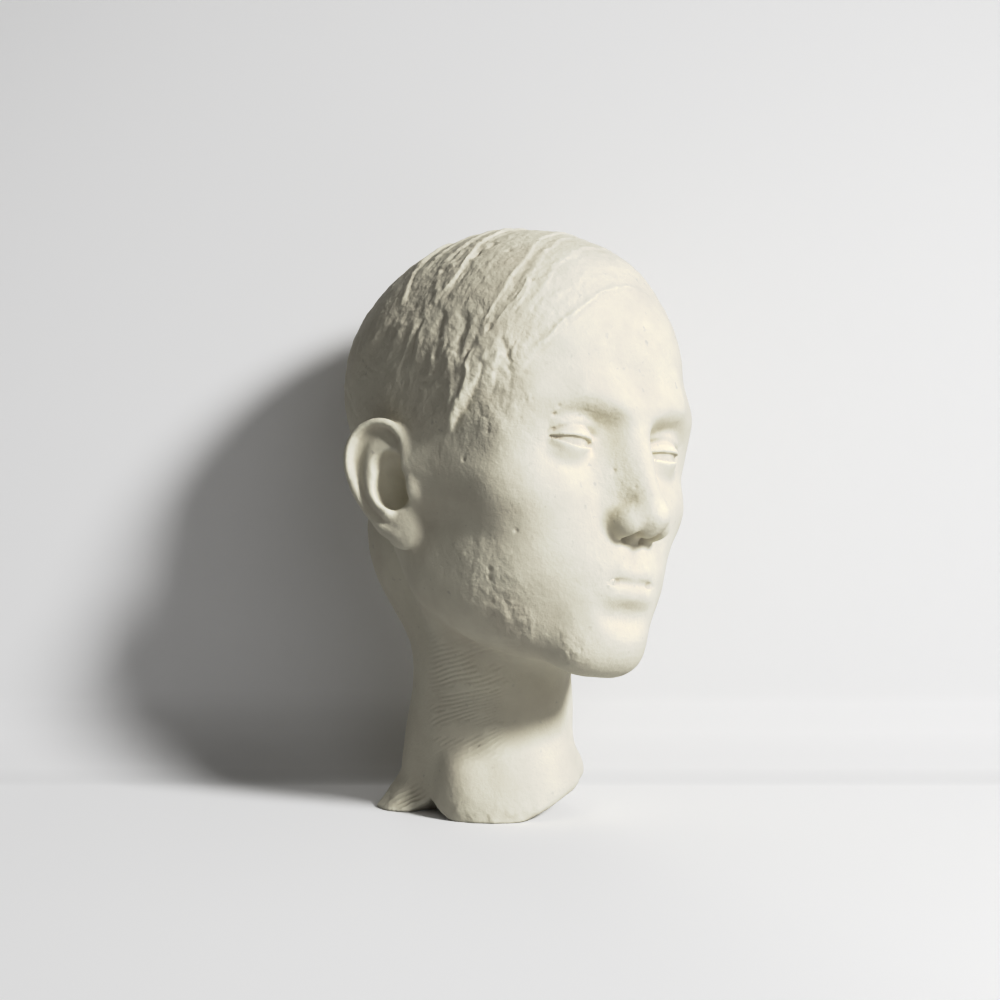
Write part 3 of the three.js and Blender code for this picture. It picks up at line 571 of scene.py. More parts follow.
@dataclass
class Ears:
    """Both ears, each in a frame of its own: u backwards, v up, w out."""

    at: Triple = (60.0, -13.0, 59.0)
    flare: float = 16.0
    lean: float = 8.0
    out: float = 7.0
    size: Triple = (1.08, 1.04, 1.05)
    steps: tuple[Mass, ...] = (
        lump((17.5, 40, -1.5), (17.5, 21, 7.5), 1),
        lump((15.5, 24, -2.5), (15.5, 20, 7.5), 4),
        coil(
            ((8, 52, 0), (17, 56.5, 0.5), (26.5, 52.5, 1), (29.5, 41, 1), (27.5, 29, 0.5), (22, 18, 0)),
            (3.2, 3.4, 3.8, 4, 3.8, 3.4),
            3,
        ),
        lump((10.5, 8.5, 1), (9, 9.5, 4.4), 4),
        coil(
            (
                (14, 32, -1), (7, 36, 1.5), (3, 44, 3.5), (4.5, 52, 4.2), (10, 58, 4.4), (18, 60, 4.8),
                (26, 57, 5.4), (31.5, 50, 6), (33, 40, 5.8), (31, 29, 4.6), (26.5, 19, 3.2), (20, 11, 2.6),
                (13, 6.5, 2),
            ),
            (1.8, 2.4, 2.6, 2.7, 2.6, 2.5, 2.5, 2.5, 2.5, 2.4, 2.4, 2.8, 3),
            2,
        ),
        cut(
            ((8, 50, 7), (12, 54, 7), (18, 55.5, 7.2), (24.5, 52.5, 7.8), (28, 45, 8), (28.6, 38, 8.2)),
            (2.8, 3.2, 3.4, 3.4, 3.2, 2.2),
            2,
        ),
        coil(
            ((18, 52, 0.5), (21.5, 44, 2), (23.5, 35, 3.6), (22.5, 26, 4.6), (16, 17.5, 5)),
            (2.2, 2.8, 3, 3, 3),
            3,
        ),
        band(((21, 43, 2), (10, 46, 0.5)), (2.4, 1.8), 3),
        lump((1.5, 27, 3), (4.5, 6.5, 4.4), 3),
        cut(((7, 20, 6), (6.5, 24, 5)), (2, 1.6), 2),
        lump((9, 33, -12), (11, 25, 9.5), 6),
    )
    bowl: tuple[Mass, ...] = (
        press((12.8, 29.5, 2.5), (8.6, 11, 9), 3),
        press((13, 40, 4.5), (7, 5.5, 5.5), 3),
    )

    def axes(self) -> Array:
        """The ear's three directions on the subject's left, each divided by its size."""
        flare, lean, out = (math.radians(a) for a in (self.flare, self.lean, self.out))
        along = np.array((math.sin(flare), math.cos(flare), 0.0))
        away = np.array((math.cos(flare), -math.sin(flare), 0.0))
        up = np.array((0.0, 0.0, 1.0))
        u = along * math.cos(lean) - up * math.sin(lean)
        v = up * math.cos(lean) + along * math.sin(lean)
        tipped = v * math.cos(out) + away * math.sin(out)
        w = away * math.cos(out) - v * math.sin(out)
        return np.stack((u, tipped, w)) / np.asarray(self.size)[:, None]

    def gap(self, cloud: Cloud) -> tuple[Array, Cloud, Array]:
        """How far points are from the nearest ear.

        Args:
            cloud: points in the head's frame.

        Returns:
            Which of the points are near an ear, the same points in its frame, and their distance from it there.
        """
        folded = Cloud(np.abs(cloud.x), cloud.y, cloud.z)
        near = folded.within((72, 14, 92), 62)
        axes = self.axes()
        here = folded.some(near).placed(axes, -axes @ np.asarray(self.at))
        ear = np.full(len(near), 1e3)
        for step in self.steps:
            step.work(here, ear)
        return near, here, ear

    def work(self, cloud: Cloud, depth: Array) -> None:
        """Sets both ears, and sinks their bowls.

        Args:
            cloud: points in the head's frame.
            depth: their distance from the form, which is changed.
        """
        near, here, ear = self.gap(cloud)
        scale = self.size[1]
        whole = join(depth[near] / scale, ear, 3 / scale)
        for step in self.bowl:
            step.work(here, whole)
        depth[near] = whole * scale


class Cut(Enum):
    """How a stroke of the tool stands across its line."""

    RIDGE = "raised line, rounded"
    GROOVE = "sunk line, rounded"
    LAP = "lock that stands up sharply on its front side and falls away behind"
    NOTCH = "short cut, widest and deepest in its middle"


@dataclass(frozen=True)
class Stroke:
    """One stroke in the hair, along points given by the angles away from the hair's axis and round it."""

    cut: Cut
    points: tuple[tuple[float, float], ...]
    width: float
    height: float
    behind: float = 8.0

    def work(self, away: Array, turn: Array, radius: float, rise: Array) -> None:
        """Adds the stroke's height.

        Args:
            away: each point's angle from the axis, in degrees.
            turn: each point's angle round the axis, in degrees.
            radius: the hair's distance from the middle, in millimetres.
            rise: the height at each point, which is changed.
        """
        reach = 3 * self.width + (3 * self.behind if self.cut is Cut.LAP else 0)
        low, high = np.min(self.points, 0), np.max(self.points, 0)
        spread = math.degrees(reach / radius)
        sideways = spread / max(math.sin(math.radians(min(max(low[0], 20), 160))), 0.35)
        near = np.flatnonzero(
            (away > low[0] - spread)
            & (away < high[0] + spread)
            & (turn > low[1] - sideways)
            & (turn < high[1] + sideways)
        )
        if not len(near):
            return
        line = eased(self.points, 4)
        ground = math.radians(1) * radius
        shrink = np.sin(np.radians(away[near]))
        best = np.full(len(near), 1e9)
        side = np.zeros(len(near))
        along = np.zeros(len(near))
        count = len(line) - 1
        for i in range(count):
            dx, dy = (line[i + 1] - line[i]) * ground
            dy = dy * shrink
            px, py = (away[near] - line[i, 0]) * ground, (turn[near] - line[i, 1]) * ground * shrink
            t = np.clip((px * dx + py * dy) / (dx * dx + dy * dy + 1e-9), 0, 1)
            gap = np.hypot(px - t * dx, py - t * dy)
            closer = gap < best
            best = np.where(closer, gap, best)
            side = np.where(closer, np.sign(px * dy - py * dx), side)
            along = np.where(closer, (i + t) / count, along)
        if self.cut is Cut.NOTCH:
            lens = np.sqrt(np.clip(np.sin(np.pi * along), 0.0, 1))
            shape = lens * np.exp(-((best / (self.width * (0.35 + 0.65 * lens))) ** 2))
        else:
            ends = ramp(along, 0, 0.12) * (1 - ramp(along, 0.8, 1))
            if self.cut is Cut.LAP:
                over = side * best
                shape = ramp(over, -self.width, self.width) * np.exp(-np.maximum(over, 0) / self.behind)
            else:
                shape = np.exp(-((best / self.width) ** 2))
            shape = shape * ends
        rise[near] += self.height * shape


@dataclass
class Hair:
    """Hair combed over the top from the subject's left, cropped at the sides and behind.

    A point of the hair is given by its angle away from an axis that comes out of the face, and its angle round
    that axis from straight up, positive on the subject's right.
    """

    middle: Triple = (0.0, -2.0, 146.0)
    axis: Triple = (0.176, -0.916, -0.356)
    radius: float = 84.0
    fringe: float = 49.5
    fringe_full: float = 18.0
    cropped: float = 1.6
    long: float = 2.1
    parting: float = -48.0
    wander: float = 1.0
    strand: float = 0.14
    torn: float = 0.36
    grit: float = 0.1
    crop: float = 0.3
    crop_from: tuple[float, float] = (98.0, 122.0)
    whorl: tuple[float, float] = (118.0, 172.0)
    edge: tuple[float, float] = (-4.0, 12.0)
    edge_behind: tuple[float, float] = (-34.0, 40.0)
    parted: float = 7.0
    parted_behind: float = 46.0
    ends: tuple[tuple[float, float], ...] = (
        (46, 70), (52, 74), (58, 82), (64, 92), (69, 108), (72, 108), (76, 96), (82, 95), (88, 93), (96, 93),
        (106, 88), (118, 92), (132, 112), (180, 120),
    )
    combed: tuple[Stroke, ...] = (
        Stroke(Cut.LAP, ((107, -14), (104, 8), (101.9, 36), (97, 50), (95.6, 58), (99.4, 71)), 0.9, 1.4, 10),
        Stroke(Cut.GROOVE, ((100, 6), (98.6, 36), (94, 50), (92.8, 58), (95, 68)), 2.4, -0.4),
        Stroke(Cut.LAP, ((130, 14), (127, 36), (124.6, 49.9), (118, 63.9), (117.6, 74)), 1.3, 1.0, 9),
        Stroke(Cut.LAP, ((87, -10), (84.4, 17.8), (79.5, 30), (75, 41.8), (73.3, 56.8), (70.6, 76)), 0.9, 0.85, 6),
        Stroke(Cut.GROOVE, ((83, 10), (77.5, 30), (72.8, 43), (71.2, 57), (69.2, 70)), 1.4, -0.25),
        Stroke(Cut.LAP, ((80.7, 10), (75, 30), (66.5, 50.8), (65.8, 64)), 0.8, 0.6, 4),
        Stroke(Cut.LAP, ((70.5, 8), (69, 22), (64.5, 40), (61, 54)), 0.8, 0.45, 5),
        Stroke(Cut.RIDGE, ((69, 46), (68, 56), (67.6, 68)), 0.7, 0.4),
        Stroke(Cut.RIDGE, ((51.9, -4), (51.4, 32.9), (51.2, 49), (52.2, 61.2), (54.8, 72)), 1.3, 0.85),
        Stroke(Cut.LAP, ((60, -6), (59.6, 14), (58.4, 34), (57.6, 52)), 1.2, 0.35, 6),
        Stroke(Cut.LAP, ((76, -30), (74, -8), (70, 12), (65.5, 34)), 1.1, 0.5, 7),
        Stroke(Cut.LAP, ((96, -34), (92, -16), (87.4, 2)), 1.1, 0.6, 8),
    )
    locks: tuple[Stroke, ...] = (
        Stroke(Cut.RIDGE, ((71.3, 76), (70.2, 84), (68.4, 92), (69, 100), (71, 111)), 1.6, 0.75),
        Stroke(Cut.GROOVE, ((66.6, 80), (64.9, 86), (65.6, 94), (67, 101), (69.4, 112)), 1.5, -0.85),
        Stroke(Cut.RIDGE, ((88.8, 80), (86.8, 88), (84.6, 95)), 2.8, 0.7),
        Stroke(Cut.RIDGE, ((78.6, 81), (77.9, 86), (76.2, 93)), 3.0, 0.7),
        Stroke(Cut.LAP, ((101.6, 74), (102.2, 82), (103, 91), (102.4, 101)), 1.3, 0.7, 6),
        Stroke(Cut.RIDGE, ((109, 76), (110, 86), (112, 96)), 2.4, 0.5),
        Stroke(Cut.RIDGE, ((62.6, 76), (61.2, 82), (60.4, 89)), 1.7, 0.4),
    )
    cuts: tuple[Stroke, ...] = (
        Stroke(Cut.NOTCH, ((92, 69), (90.8, 75), (88.2, 81), (85.2, 87.5)), 3.2, -1.0),
        Stroke(Cut.NOTCH, ((83.6, 66), (80.6, 71), (78.2, 76), (75.6, 82)), 3.4, -1.1),
        Stroke(Cut.NOTCH, ((73.6, 67), (72.2, 73), (71.6, 78), (71.2, 84)), 2.2, -0.6),
        Stroke(Cut.NOTCH, ((65, 70.6), (62.4, 73.4), (60, 75), (56.4, 76.4)), 2.0, -1.0),
        Stroke(Cut.NOTCH, ((57.9, 77.6), (56.4, 78.6), (54.4, 79)), 1.1, -0.4),
        Stroke(Cut.NOTCH, ((53, 77), (51.4, 78.4), (49, 78)), 1.0, -0.35),
        Stroke(Cut.NOTCH, ((100.4, 74), (99.8, 82), (100.6, 92)), 1.8, -0.8),
        Stroke(Cut.NOTCH, ((97.4, 31), (97.2, 34), (96.8, 37)), 1.5, -1.4),
        Stroke(Cut.NOTCH, ((98.6, 38.4), (98, 41), (97.4, 43.6)), 1.3, -1.3),
        Stroke(Cut.NOTCH, ((69.6, 66), (69, 68.4), (68.6, 70)), 1.3, -1.0),
    )

    def frame(self) -> tuple[Array, Array, Array]:
        """The axis, the way up across it, and the way to the subject's right."""
        axis = unit(self.axis)
        up = unit(np.array((0.0, 0.0, 1.0)) - axis * axis[2])
        return axis, up, np.cross(axis, up)

    def angles(self, cloud: Cloud) -> tuple[Array, Array]:
        """The angle away from the axis and the angle round it, in degrees."""
        dx, dy, dz = cloud.x - self.middle[0], cloud.y - self.middle[1], cloud.z - self.middle[2]
        ahead, above, aside = (dx * v[0] + dy * v[1] + dz * v[2] for v in self.frame())
        away = np.degrees(np.arctan2(np.hypot(above, aside), ahead))
        return away, np.degrees(np.arctan2(aside, above))

    def covers(self, cloud: Cloud, away: Array, turn: Array) -> tuple[Array, Array]:
        """How much of each point lies under hair, and how much under the long hair, from 0 to 1."""
        side = np.abs(turn)
        soft = 0.8 + 1.6 * (1 - ramp(turn, -5, 62))
        front = ramp((away - self.fringe - 3.5 * ramp(side, 55, 78)) / soft, -1, 1)
        temple = ramp(75 + 1.74 * (away - 54) - side, -9, 9)
        grows = front * temple * ramp(cloud.z - (114 - 50 * ramp(cloud.y, 2, 62)), -8, 8)
        points, values = zip(*self.ends)
        ragged = 2.5 * clouds(away / 5.5, turn / 11, np.zeros_like(away), 3)
        left = np.interp(away, points, values) + ragged - turn
        behind = ramp(away, *self.whorl)
        low, high = (a + (b - a) * behind for a, b in zip(self.edge, self.edge_behind))
        parted = self.parted + (self.parted_behind - self.parted) * behind
        over = ramp((left - low) / (high - low), 0, 1) * ramp((turn - self.parting) / parted, 0, 1) * front
        return grows, over + (0.5 - over) * behind

    def thickness(self, cloud: Cloud) -> Array:
        """How thick the hair lies at each point of the head's frame."""
        away, turn = self.angles(cloud)
        grows, over = self.covers(cloud, away, turn)
        swell = 1 + 0.25 * clouds(away / 16, turn / 40, np.zeros_like(away), 9)
        edge = 0.12 + 0.3 * ramp(turn, -10, 65)
        full = edge + (1 - edge) * ramp(away, self.fringe, self.fringe + self.fringe_full)
        return (self.cropped * grows + self.long * over * swell) * full

    def relief(self, cloud: Cloud) -> Array:
        """How far the strokes in the hair stand out at each point."""
        away, turn = self.angles(cloud)
        grows, over = self.covers(cloud, away, turn)
        rise = np.zeros_like(away)
        wander = self.wander * clouds(away / 5, turn / 9, np.zeros_like(away), 31)
        turn = turn + 1.6 * self.wander * clouds(away / 4.4, turn / 6, np.zeros_like(away), 32)
        away = away + wander
        for stroke in self.combed + self.behind():
            stroke.work(away, turn, self.radius, rise)
        ground = math.radians(1) * self.radius
        across = (away + 0.2 * ramp(away, 50, 75) * turn) * ground
        along = turn * ground * np.sin(np.radians(away))
        flat = np.zeros_like(away)
        patchy = 0.4 + 0.6 * ramp(clouds(across / 14, along / 20, flat, 21), -0.4, 0.4)
        strands = clouds(across / 1.9, along / 15, flat, 5) + 0.5 * clouds(across / 4.6, along / 34, flat, 6)
        rise += (self.strand * strands * patchy + self.grit * clouds(across / 2.3, along / 2.8, flat, 35)) * over
        rise *= np.maximum(over, 0.35 * grows)
        fan = np.cos(np.radians(turn)), np.sin(np.radians(turn))
        fine = clouds(*(26 * v for v in fan), across / 16, 36) + 0.7 * clouds(*(11 * v for v in fan), across / 30, 37)
        rise += self.crop * fine * grows * (1 - over) * ramp(away, *self.crop_from)
        points, values = zip(*self.ends)
        tips = np.exp(-(((np.interp(away, points, values) - turn - 8) / 14) ** 2)) * ramp(away, 50, 60)
        lumps = 0.8 * clouds(across / 3.8, along / 5, flat, 33) + clouds(across / 8, along / 9, flat, 34)
        rise += self.torn * tips * lumps
        for stroke in self.locks + self.cuts:
            stroke.work(away, turn, self.radius, rise)
        return rise

    def behind(self) -> tuple[Stroke, ...]:
        """The plainer strokes where the photograph doesn't show the head."""
        strokes = []
        for i, away in enumerate(np.arange(112, 160, 9.0)):
            shift = 9 * math.sin(2.3 * i)
            line = ((away + 2, -34 + shift), (away, 0), (away - 3, 32 - shift), (away - 4, 62 + shift))
            strokes.append(Stroke(Cut.LAP, line, 1.3, 0.9, 8))
        for i, away in enumerate(np.arange(58, 150, 9.0)):
            shift = 5 * math.sin(1.7 * i)
            line = ((away, -54), (away + 2, -66), (away + 3, -80 + shift), (away + 5, -94 + shift))
            strokes.append(Stroke(Cut.LAP, line, 1.2, 1.4, 7))
        return tuple(strokes)


@dataclass
class Form:
    """The whole form, as a distance from its surface, less than nothing inside it."""

    skull: Skull = field(default_factory=Skull)
    face: Face = field(default_factory=Face)
    eyes: Eyes = field(default_factory=Eyes)
    nose: Nose = field(default_factory=Nose)
    mouth: Mouth = field(default_factory=Mouth)
    hair: Hair = field(default_factory=Hair)
    ears: Ears = field(default_factory=Ears)
    neck: Neck = field(default_factory=Neck)
    neck_top: Triple = (0.0, 8.0, 60.0)
    place: Triple = (-5.0, -1.0, 69.0)
    raised: float = 4.5
    leaning: float = 9.0
    throat: float = 13.0
    edge: float = 1.2

    def head_axes(self) -> Array:
        """The matrix that turns the head on the neck."""
        return np.array(
            Matrix.Rotation(-math.radians(self.raised), 3, "X") @ Matrix.Rotation(math.radians(self.leaning), 3, "Y")
        )

    def in_head(self, cloud: Cloud) -> Cloud:
        """Points of the part's frame, in the head's."""
        turn = self.head_axes().T
        pivot = np.asarray(self.neck_top)
        return cloud.placed(turn, pivot - turn @ (pivot + np.asarray(self.place)))

    def depth(self, cloud: Cloud) -> Array:
        """How far each point is from the surface.

        Args:
            cloud: points in the part's frame, close to the surface.

        Returns:
            One distance a point, in millimetres.
        """
        head = self.in_head(cloud)
        upper = np.full(len(cloud.x), 1e3)
        for part in (self.skull, self.face, self.eyes, self.nose, self.mouth):
            part.work(head, upper)
        upper -= self.hair.thickness(head)
        lower = np.full(len(cloud.x), 1e3)
        self.neck.work(cloud, lower)
        whole = join(upper, lower, self.throat)
        self.ears.work(head, whole)
        return -join(-whole, cloud.z, self.edge)

    def slope(self, points: Array, step: float = 0.4) -> Array:
        """Which way, and how fast, the distance grows at each point.

        Args:
            points: an (n, 3) array in millimetres.
            step: the width over which the slope is taken.

        Returns:
            One direction a point, about one long.
        """
        sides = []
        for shift in np.eye(3) * step:
            ahead = self.depth(Cloud.of(points + shift))
            behind = self.depth(Cloud.of(points - shift))
            sides.append((ahead - behind) / (2 * step))
        return np.stack(sides, 1)

    def settle(self, points: Array, sweeps: int) -> Array:
        """Moves points onto the surface.

        Args:
            points: an (n, 3) array in millimetres.
            sweeps: how often each point is moved.

        Returns:
            The points moved.
        """
        for _ in range(sweeps):
            gap = np.clip(self.depth(Cloud.of(points)), -1.5, 1.5)
            slope = self.slope(points)
            points = points - slope * (gap / ((slope**2).sum(1) + 0.05))[:, None]
        return points


@dataclass(frozen=True)
class Patch:
    """A round part of the surface, given in the head's frame, that is rougher or smoother than the rest."""

    at: Triple
    radius: float
    strength: float

    def share(self, cloud: Cloud) -> Array:
        """How much of the patch's strength each point has."""
        gap = np.sqrt((cloud.x - self.at[0]) ** 2 + (cloud.y - self.at[1]) ** 2 + (cloud.z - self.at[2]) ** 2)
        return self.strength * (1 - ramp(gap / self.radius, 0.2, 1.35))


@dataclass
class HandWork:
    """What tools, casting and handling left on the surface: lumps, pimples, pits, rasp marks and worn edges."""

    uneven: float = 0.22
    pimples: float = 0.3
    patches: tuple[Patch, ...] = (
        Patch((-64, -62, 125), 18, 0.75),
        Patch((-68, -48, 116), 14, 0.6),
        Patch((-51, -76, 115), 14, 0.45),
        Patch((-30, -86, 122), 14, 0.4),
        Patch((-16, -90, 96), 13, 0.5),
        Patch((-8, -98, 80), 9, 0.5),
        Patch((-57, -49, 52), 18, 0.55),
        Patch((-52, -50, 34), 17, 0.6),
        Patch((-44, -58, 26), 16, 0.5),
        Patch((-24, -80, 13), 13, 0.75),
        Patch((-38, -60, 16), 12, 0.6),
        Patch((-14, -90, 44), 12, 0.35),
        Patch((-62, -14, 192), 20, 0.8),
        Patch((-47, -12, 205), 17, 0.8),
        Patch((-52, -60, 188), 10, 0.6),
        Patch((-71, -28, 150), 20, 0.55),
        Patch((-66, -62, 140), 12, 0.6),
        Patch((40, 30, 200), 30, 0.4),
        Patch((58, -50, 60), 22, 0.5),
    )
    pit_spots: tuple[tuple[Triple, float], ...] = (
        ((-52, -66, 66), 1.0),
        ((-60, -53, 46), 1.3),
        ((-57, -52, 42), 1.2),
        ((-56, -52, 30), 1.3),
        ((-45, -40, 208), 1.5),
        ((-60, 30, 150), 1.3),
        ((-70, 25, 120), 1.2),
    )
    scattered: int = 70
    seed: int = 11
    rasp_pitch: float = 2.5
    rasp_depth: float = 0.5

    def rough_share(self, head: Cloud) -> Array:
        """How rough each point is, from 0 to about 1."""
        return sum(patch.share(head) for patch in self.patches)

    def grain(self, head: Cloud, haired: Array) -> Array:
        """How coarse the finest grain is at each point, from 0 to 1.

        Args:
            head: points in the head's frame.
            haired: how much of each point lies under hair.

        Returns:
            One value a point.
        """
        bare = 0.52 + 0.2 * rough(head, 26, 80)
        return np.clip(bare + 0.5 * self.rough_share(head) + 0.5 * haired, 0.05, 1)

    def relief(self, head: Cloud, haired: Array) -> Array:
        """The lumps, pimples and pits on the head.

        Args:
            head: points in the head's frame.
            haired: how much of each point lies under hair.

        Returns:
            How far the surface stands out at each, in millimetres.
        """
        share = self.rough_share(head) + 0.15 + 0.6 * haired
        rise = self.uneven * rough(head, 13, 40, 3)
        rise += self.pimples * share * np.maximum(rough(head, 3.4, 50), -0.5)
        rise -= 0.6 * self.pimples * share * ramp(rough(head, 4.4, 60, 1), 0.4, 0.8)
        for spot, size in self.pit_spots:
            self.sink(head, spot, size, rise)
        draw = np.random.default_rng(self.seed)
        for patch in draw.choice(len(self.patches), self.scattered):
            where = self.patches[patch]
            spot = np.asarray(where.at) + draw.normal(0, 0.8 * where.radius, 3)
            self.sink(head, tuple(spot), draw.uniform(0.6, 1.1), rise)
        return rise

    @staticmethod
    def sink(cloud: Cloud, spot: Triple, size: float, rise: Array) -> None:
        """Makes one pit at the surface nearest to a spot."""
        near = cloud.within(spot, 9)
        if not len(near):
            return
        gap = np.sqrt(sum((c[near] - s) ** 2 for c, s in zip((cloud.x, cloud.y, cloud.z), spot)))
        least = near[gap.argmin()]
        spot = (cloud.x[least], cloud.y[least], cloud.z[least])
        near = cloud.within(spot, 3 * size)
        gap = np.sqrt(sum((c[near] - s) ** 2 for c, s in zip((cloud.x, cloud.y, cloud.z), spot)))
        rise[near] -= 0.55 * size * np.exp(-((gap / size) ** 2))

    def rasped(self, cloud: Cloud) -> Array:
        """How much of each point of the neck is rasped, from 0 to 1."""
        side = np.degrees(np.arctan2(cloud.y - 9, -cloud.x))
        band = ramp(side, -62, -48) * (1 - ramp(side, -6, 12))
        return band * ramp(cloud.z, 24, 44) * (1 - ramp(cloud.z, 68, 108))

    def neck_relief(self, cloud: Cloud) -> Array:
        """The rasp strokes on the neck and the chipped rim of the base.

        Args:
            cloud: points in the part's frame.

        Returns:
            How far the surface stands out at each, in millimetres.
        """
        turn = np.arctan2(cloud.y - 9, -cloud.x)
        around = -40 * turn
        rising = 0.29 + 0.3 * (1 - ramp(cloud.z, 40, 66))
        wave = (cloud.z - rising * around + 1.6 * clouds(around / 14, cloud.z / 14, 0 * turn, 70)) / self.rasp_pitch
        broken = ramp(clouds(around / 9, cloud.z / 3.2, 0 * turn, 71), -0.55, 0.1)
        strokes = 0.5 + 0.5 * np.sin(2 * np.pi * wave)
        rise = -self.rasp_depth * strokes * broken * self.rasped(cloud)
        rim = (1 - ramp(cloud.z, 2, 16)) * ramp(cloud.z, 0, 0.6)
        rise += 0.45 * rim * rough(cloud, 7, 72) + 0.2 * rim * rough(cloud, 2.6, 74)
        flank = np.exp(-(((cloud.x + 46) / 9) ** 2 + ((cloud.y - 21) / 10) ** 2 + ((cloud.z - 6) / 7) ** 2))
        lines = np.sin(2 * np.pi * (cloud.z * 0.85 + cloud.y * 0.5) / 2.6 + 1.5 * rough(cloud, 5, 75))
        return rise + 0.45 * flank * lines


def alone(piece: bpy.types.Object) -> None:
    """Selects one object and makes it the active one."""
    bpy.ops.object.select_all(action="DESELECT")
    piece.select_set(True)
    bpy.context.view_layer.objects.active = piece


def finish_with(piece: bpy.types.Object, kind: str, **settings: object) -> None:
    """Adds one modifier with its settings and applies it.

    Args:
        piece: the object.
        kind: Blender's name for the modifier.
        settings: the modifier's values by name.
    """
    alone(piece)
    bpy.ops.object.modifier_add(type=kind)
    modifier = piece.modifiers[-1]
    for name, value in settings.items():
        setattr(modifier, name, value)
    bpy.ops.object.modifier_apply(modifier=modifier.name)


def read_points(mesh: bpy.types.Mesh) -> Array:
    """A mesh's vertices in millimetres."""
    flat = np.empty(3 * len(mesh.vertices), np.float32)
    mesh.vertices.foreach_get("co", flat)
    return flat.reshape(-1, 3).astype(float) / MM


def hollows(mesh: bpy.types.Mesh) -> Array:
    """How far each vertex lies in a hollow.

    Args:
        mesh: the mesh, in metres.

    Returns:
        One value a vertex, from 1 in the narrowest hollows over 0 on plain parts to less than nothing on crests.
    """
    points = read_points(mesh)
    normals = np.empty(3 * len(points), np.float32)
    mesh.vertices.foreach_get("normal", normals)
    normals = normals.reshape(-1, 3)
    ends = np.empty(2 * len(mesh.edges), np.int32)
    mesh.edges.foreach_get("vertices", ends)
    first, second = ends.reshape(-1, 2).T
    way = unit_rows(points[second] - points[first])
    counts = np.bincount(ends, minlength=len(points)) + 1e-9
    bend = np.bincount(first, (way * normals[first]).sum(1), len(points))
    bend -= np.bincount(second, (way * normals[second]).sum(1), len(points))
    bend /= counts
    for _ in range(4):
        around = np.bincount(first, bend[second], len(points)) + np.bincount(second, bend[first], len(points))
        bend = (bend + around / counts) / 2
    return ramp(bend, 0.01, 0.16) - 0.5 * ramp(-bend, 0.012, 0.1)


def keep_values(mesh: bpy.types.Mesh, name: str, values: Array) -> None:
    """Stores one value a vertex under a name that materials can read."""
    attribute = mesh.attributes.new(name, "FLOAT", "POINT")
    attribute.data.foreach_set("value", values.astype(np.float32))


def write_points(mesh: bpy.types.Mesh, points: Array) -> None:
    """Gives a mesh its vertices back, in millimetres."""
    mesh.vertices.foreach_set("co", (points * MM).astype(np.float32).ravel())
    mesh.update()


class Shared:
    """A node group under construction, with a short way to add and join its nodes."""

    def __init__(self, name: str, takes: dict[str, str], gives: dict[str, str]) -> None:
        """Starts the group.

        Args:
            name: its name.
            takes: the kind of each input, by name.
            gives: the kind of each output, by name.
        """
        self.tree = bpy.data.node_groups.new(name, "ShaderNodeTree")
        for title, kind in takes.items():
            self.tree.interface.new_socket(title, in_out="INPUT", socket_type=kind)
        for title, kind in gives.items():
            self.tree.interface.new_socket(title, in_out="OUTPUT", socket_type=kind)
        self.inside = self.tree.nodes.new("NodeGroupInput")
        self.outside = self.tree.nodes.new("NodeGroupOutput")

    def add(self, kind: str, **inputs: object) -> bpy.types.Node:
        """Adds a node and sets or joins its inputs.

        Args:
            kind: Blender's name for the node.
            inputs: a value or a socket for each input, by the input's name with _ for a space.

        Returns:
            The node.
        """
        node = self.tree.nodes.new(kind)
        for title, value in inputs.items():
            self.join(value, node.inputs[title.replace("_", " ")])
        return node

    def math(self, operation: str, first: object, second: object, third: object = 0.0) -> bpy.types.NodeSocket:
        """Adds a sum, product or the like, and gives its result."""
        node = self.tree.nodes.new("ShaderNodeMath")
        node.operation = operation
        for value, socket in zip((first, second, third), node.inputs):
            self.join(value, socket)
        return node.outputs["Value"]

    def join(self, value: object, socket: bpy.types.NodeSocket) -> None:
        """Links a socket to an input, or sets the input's own value."""
        if isinstance(value, bpy.types.NodeSocket):
            self.tree.links.new(value, socket)
        else:
            socket.default_value = value


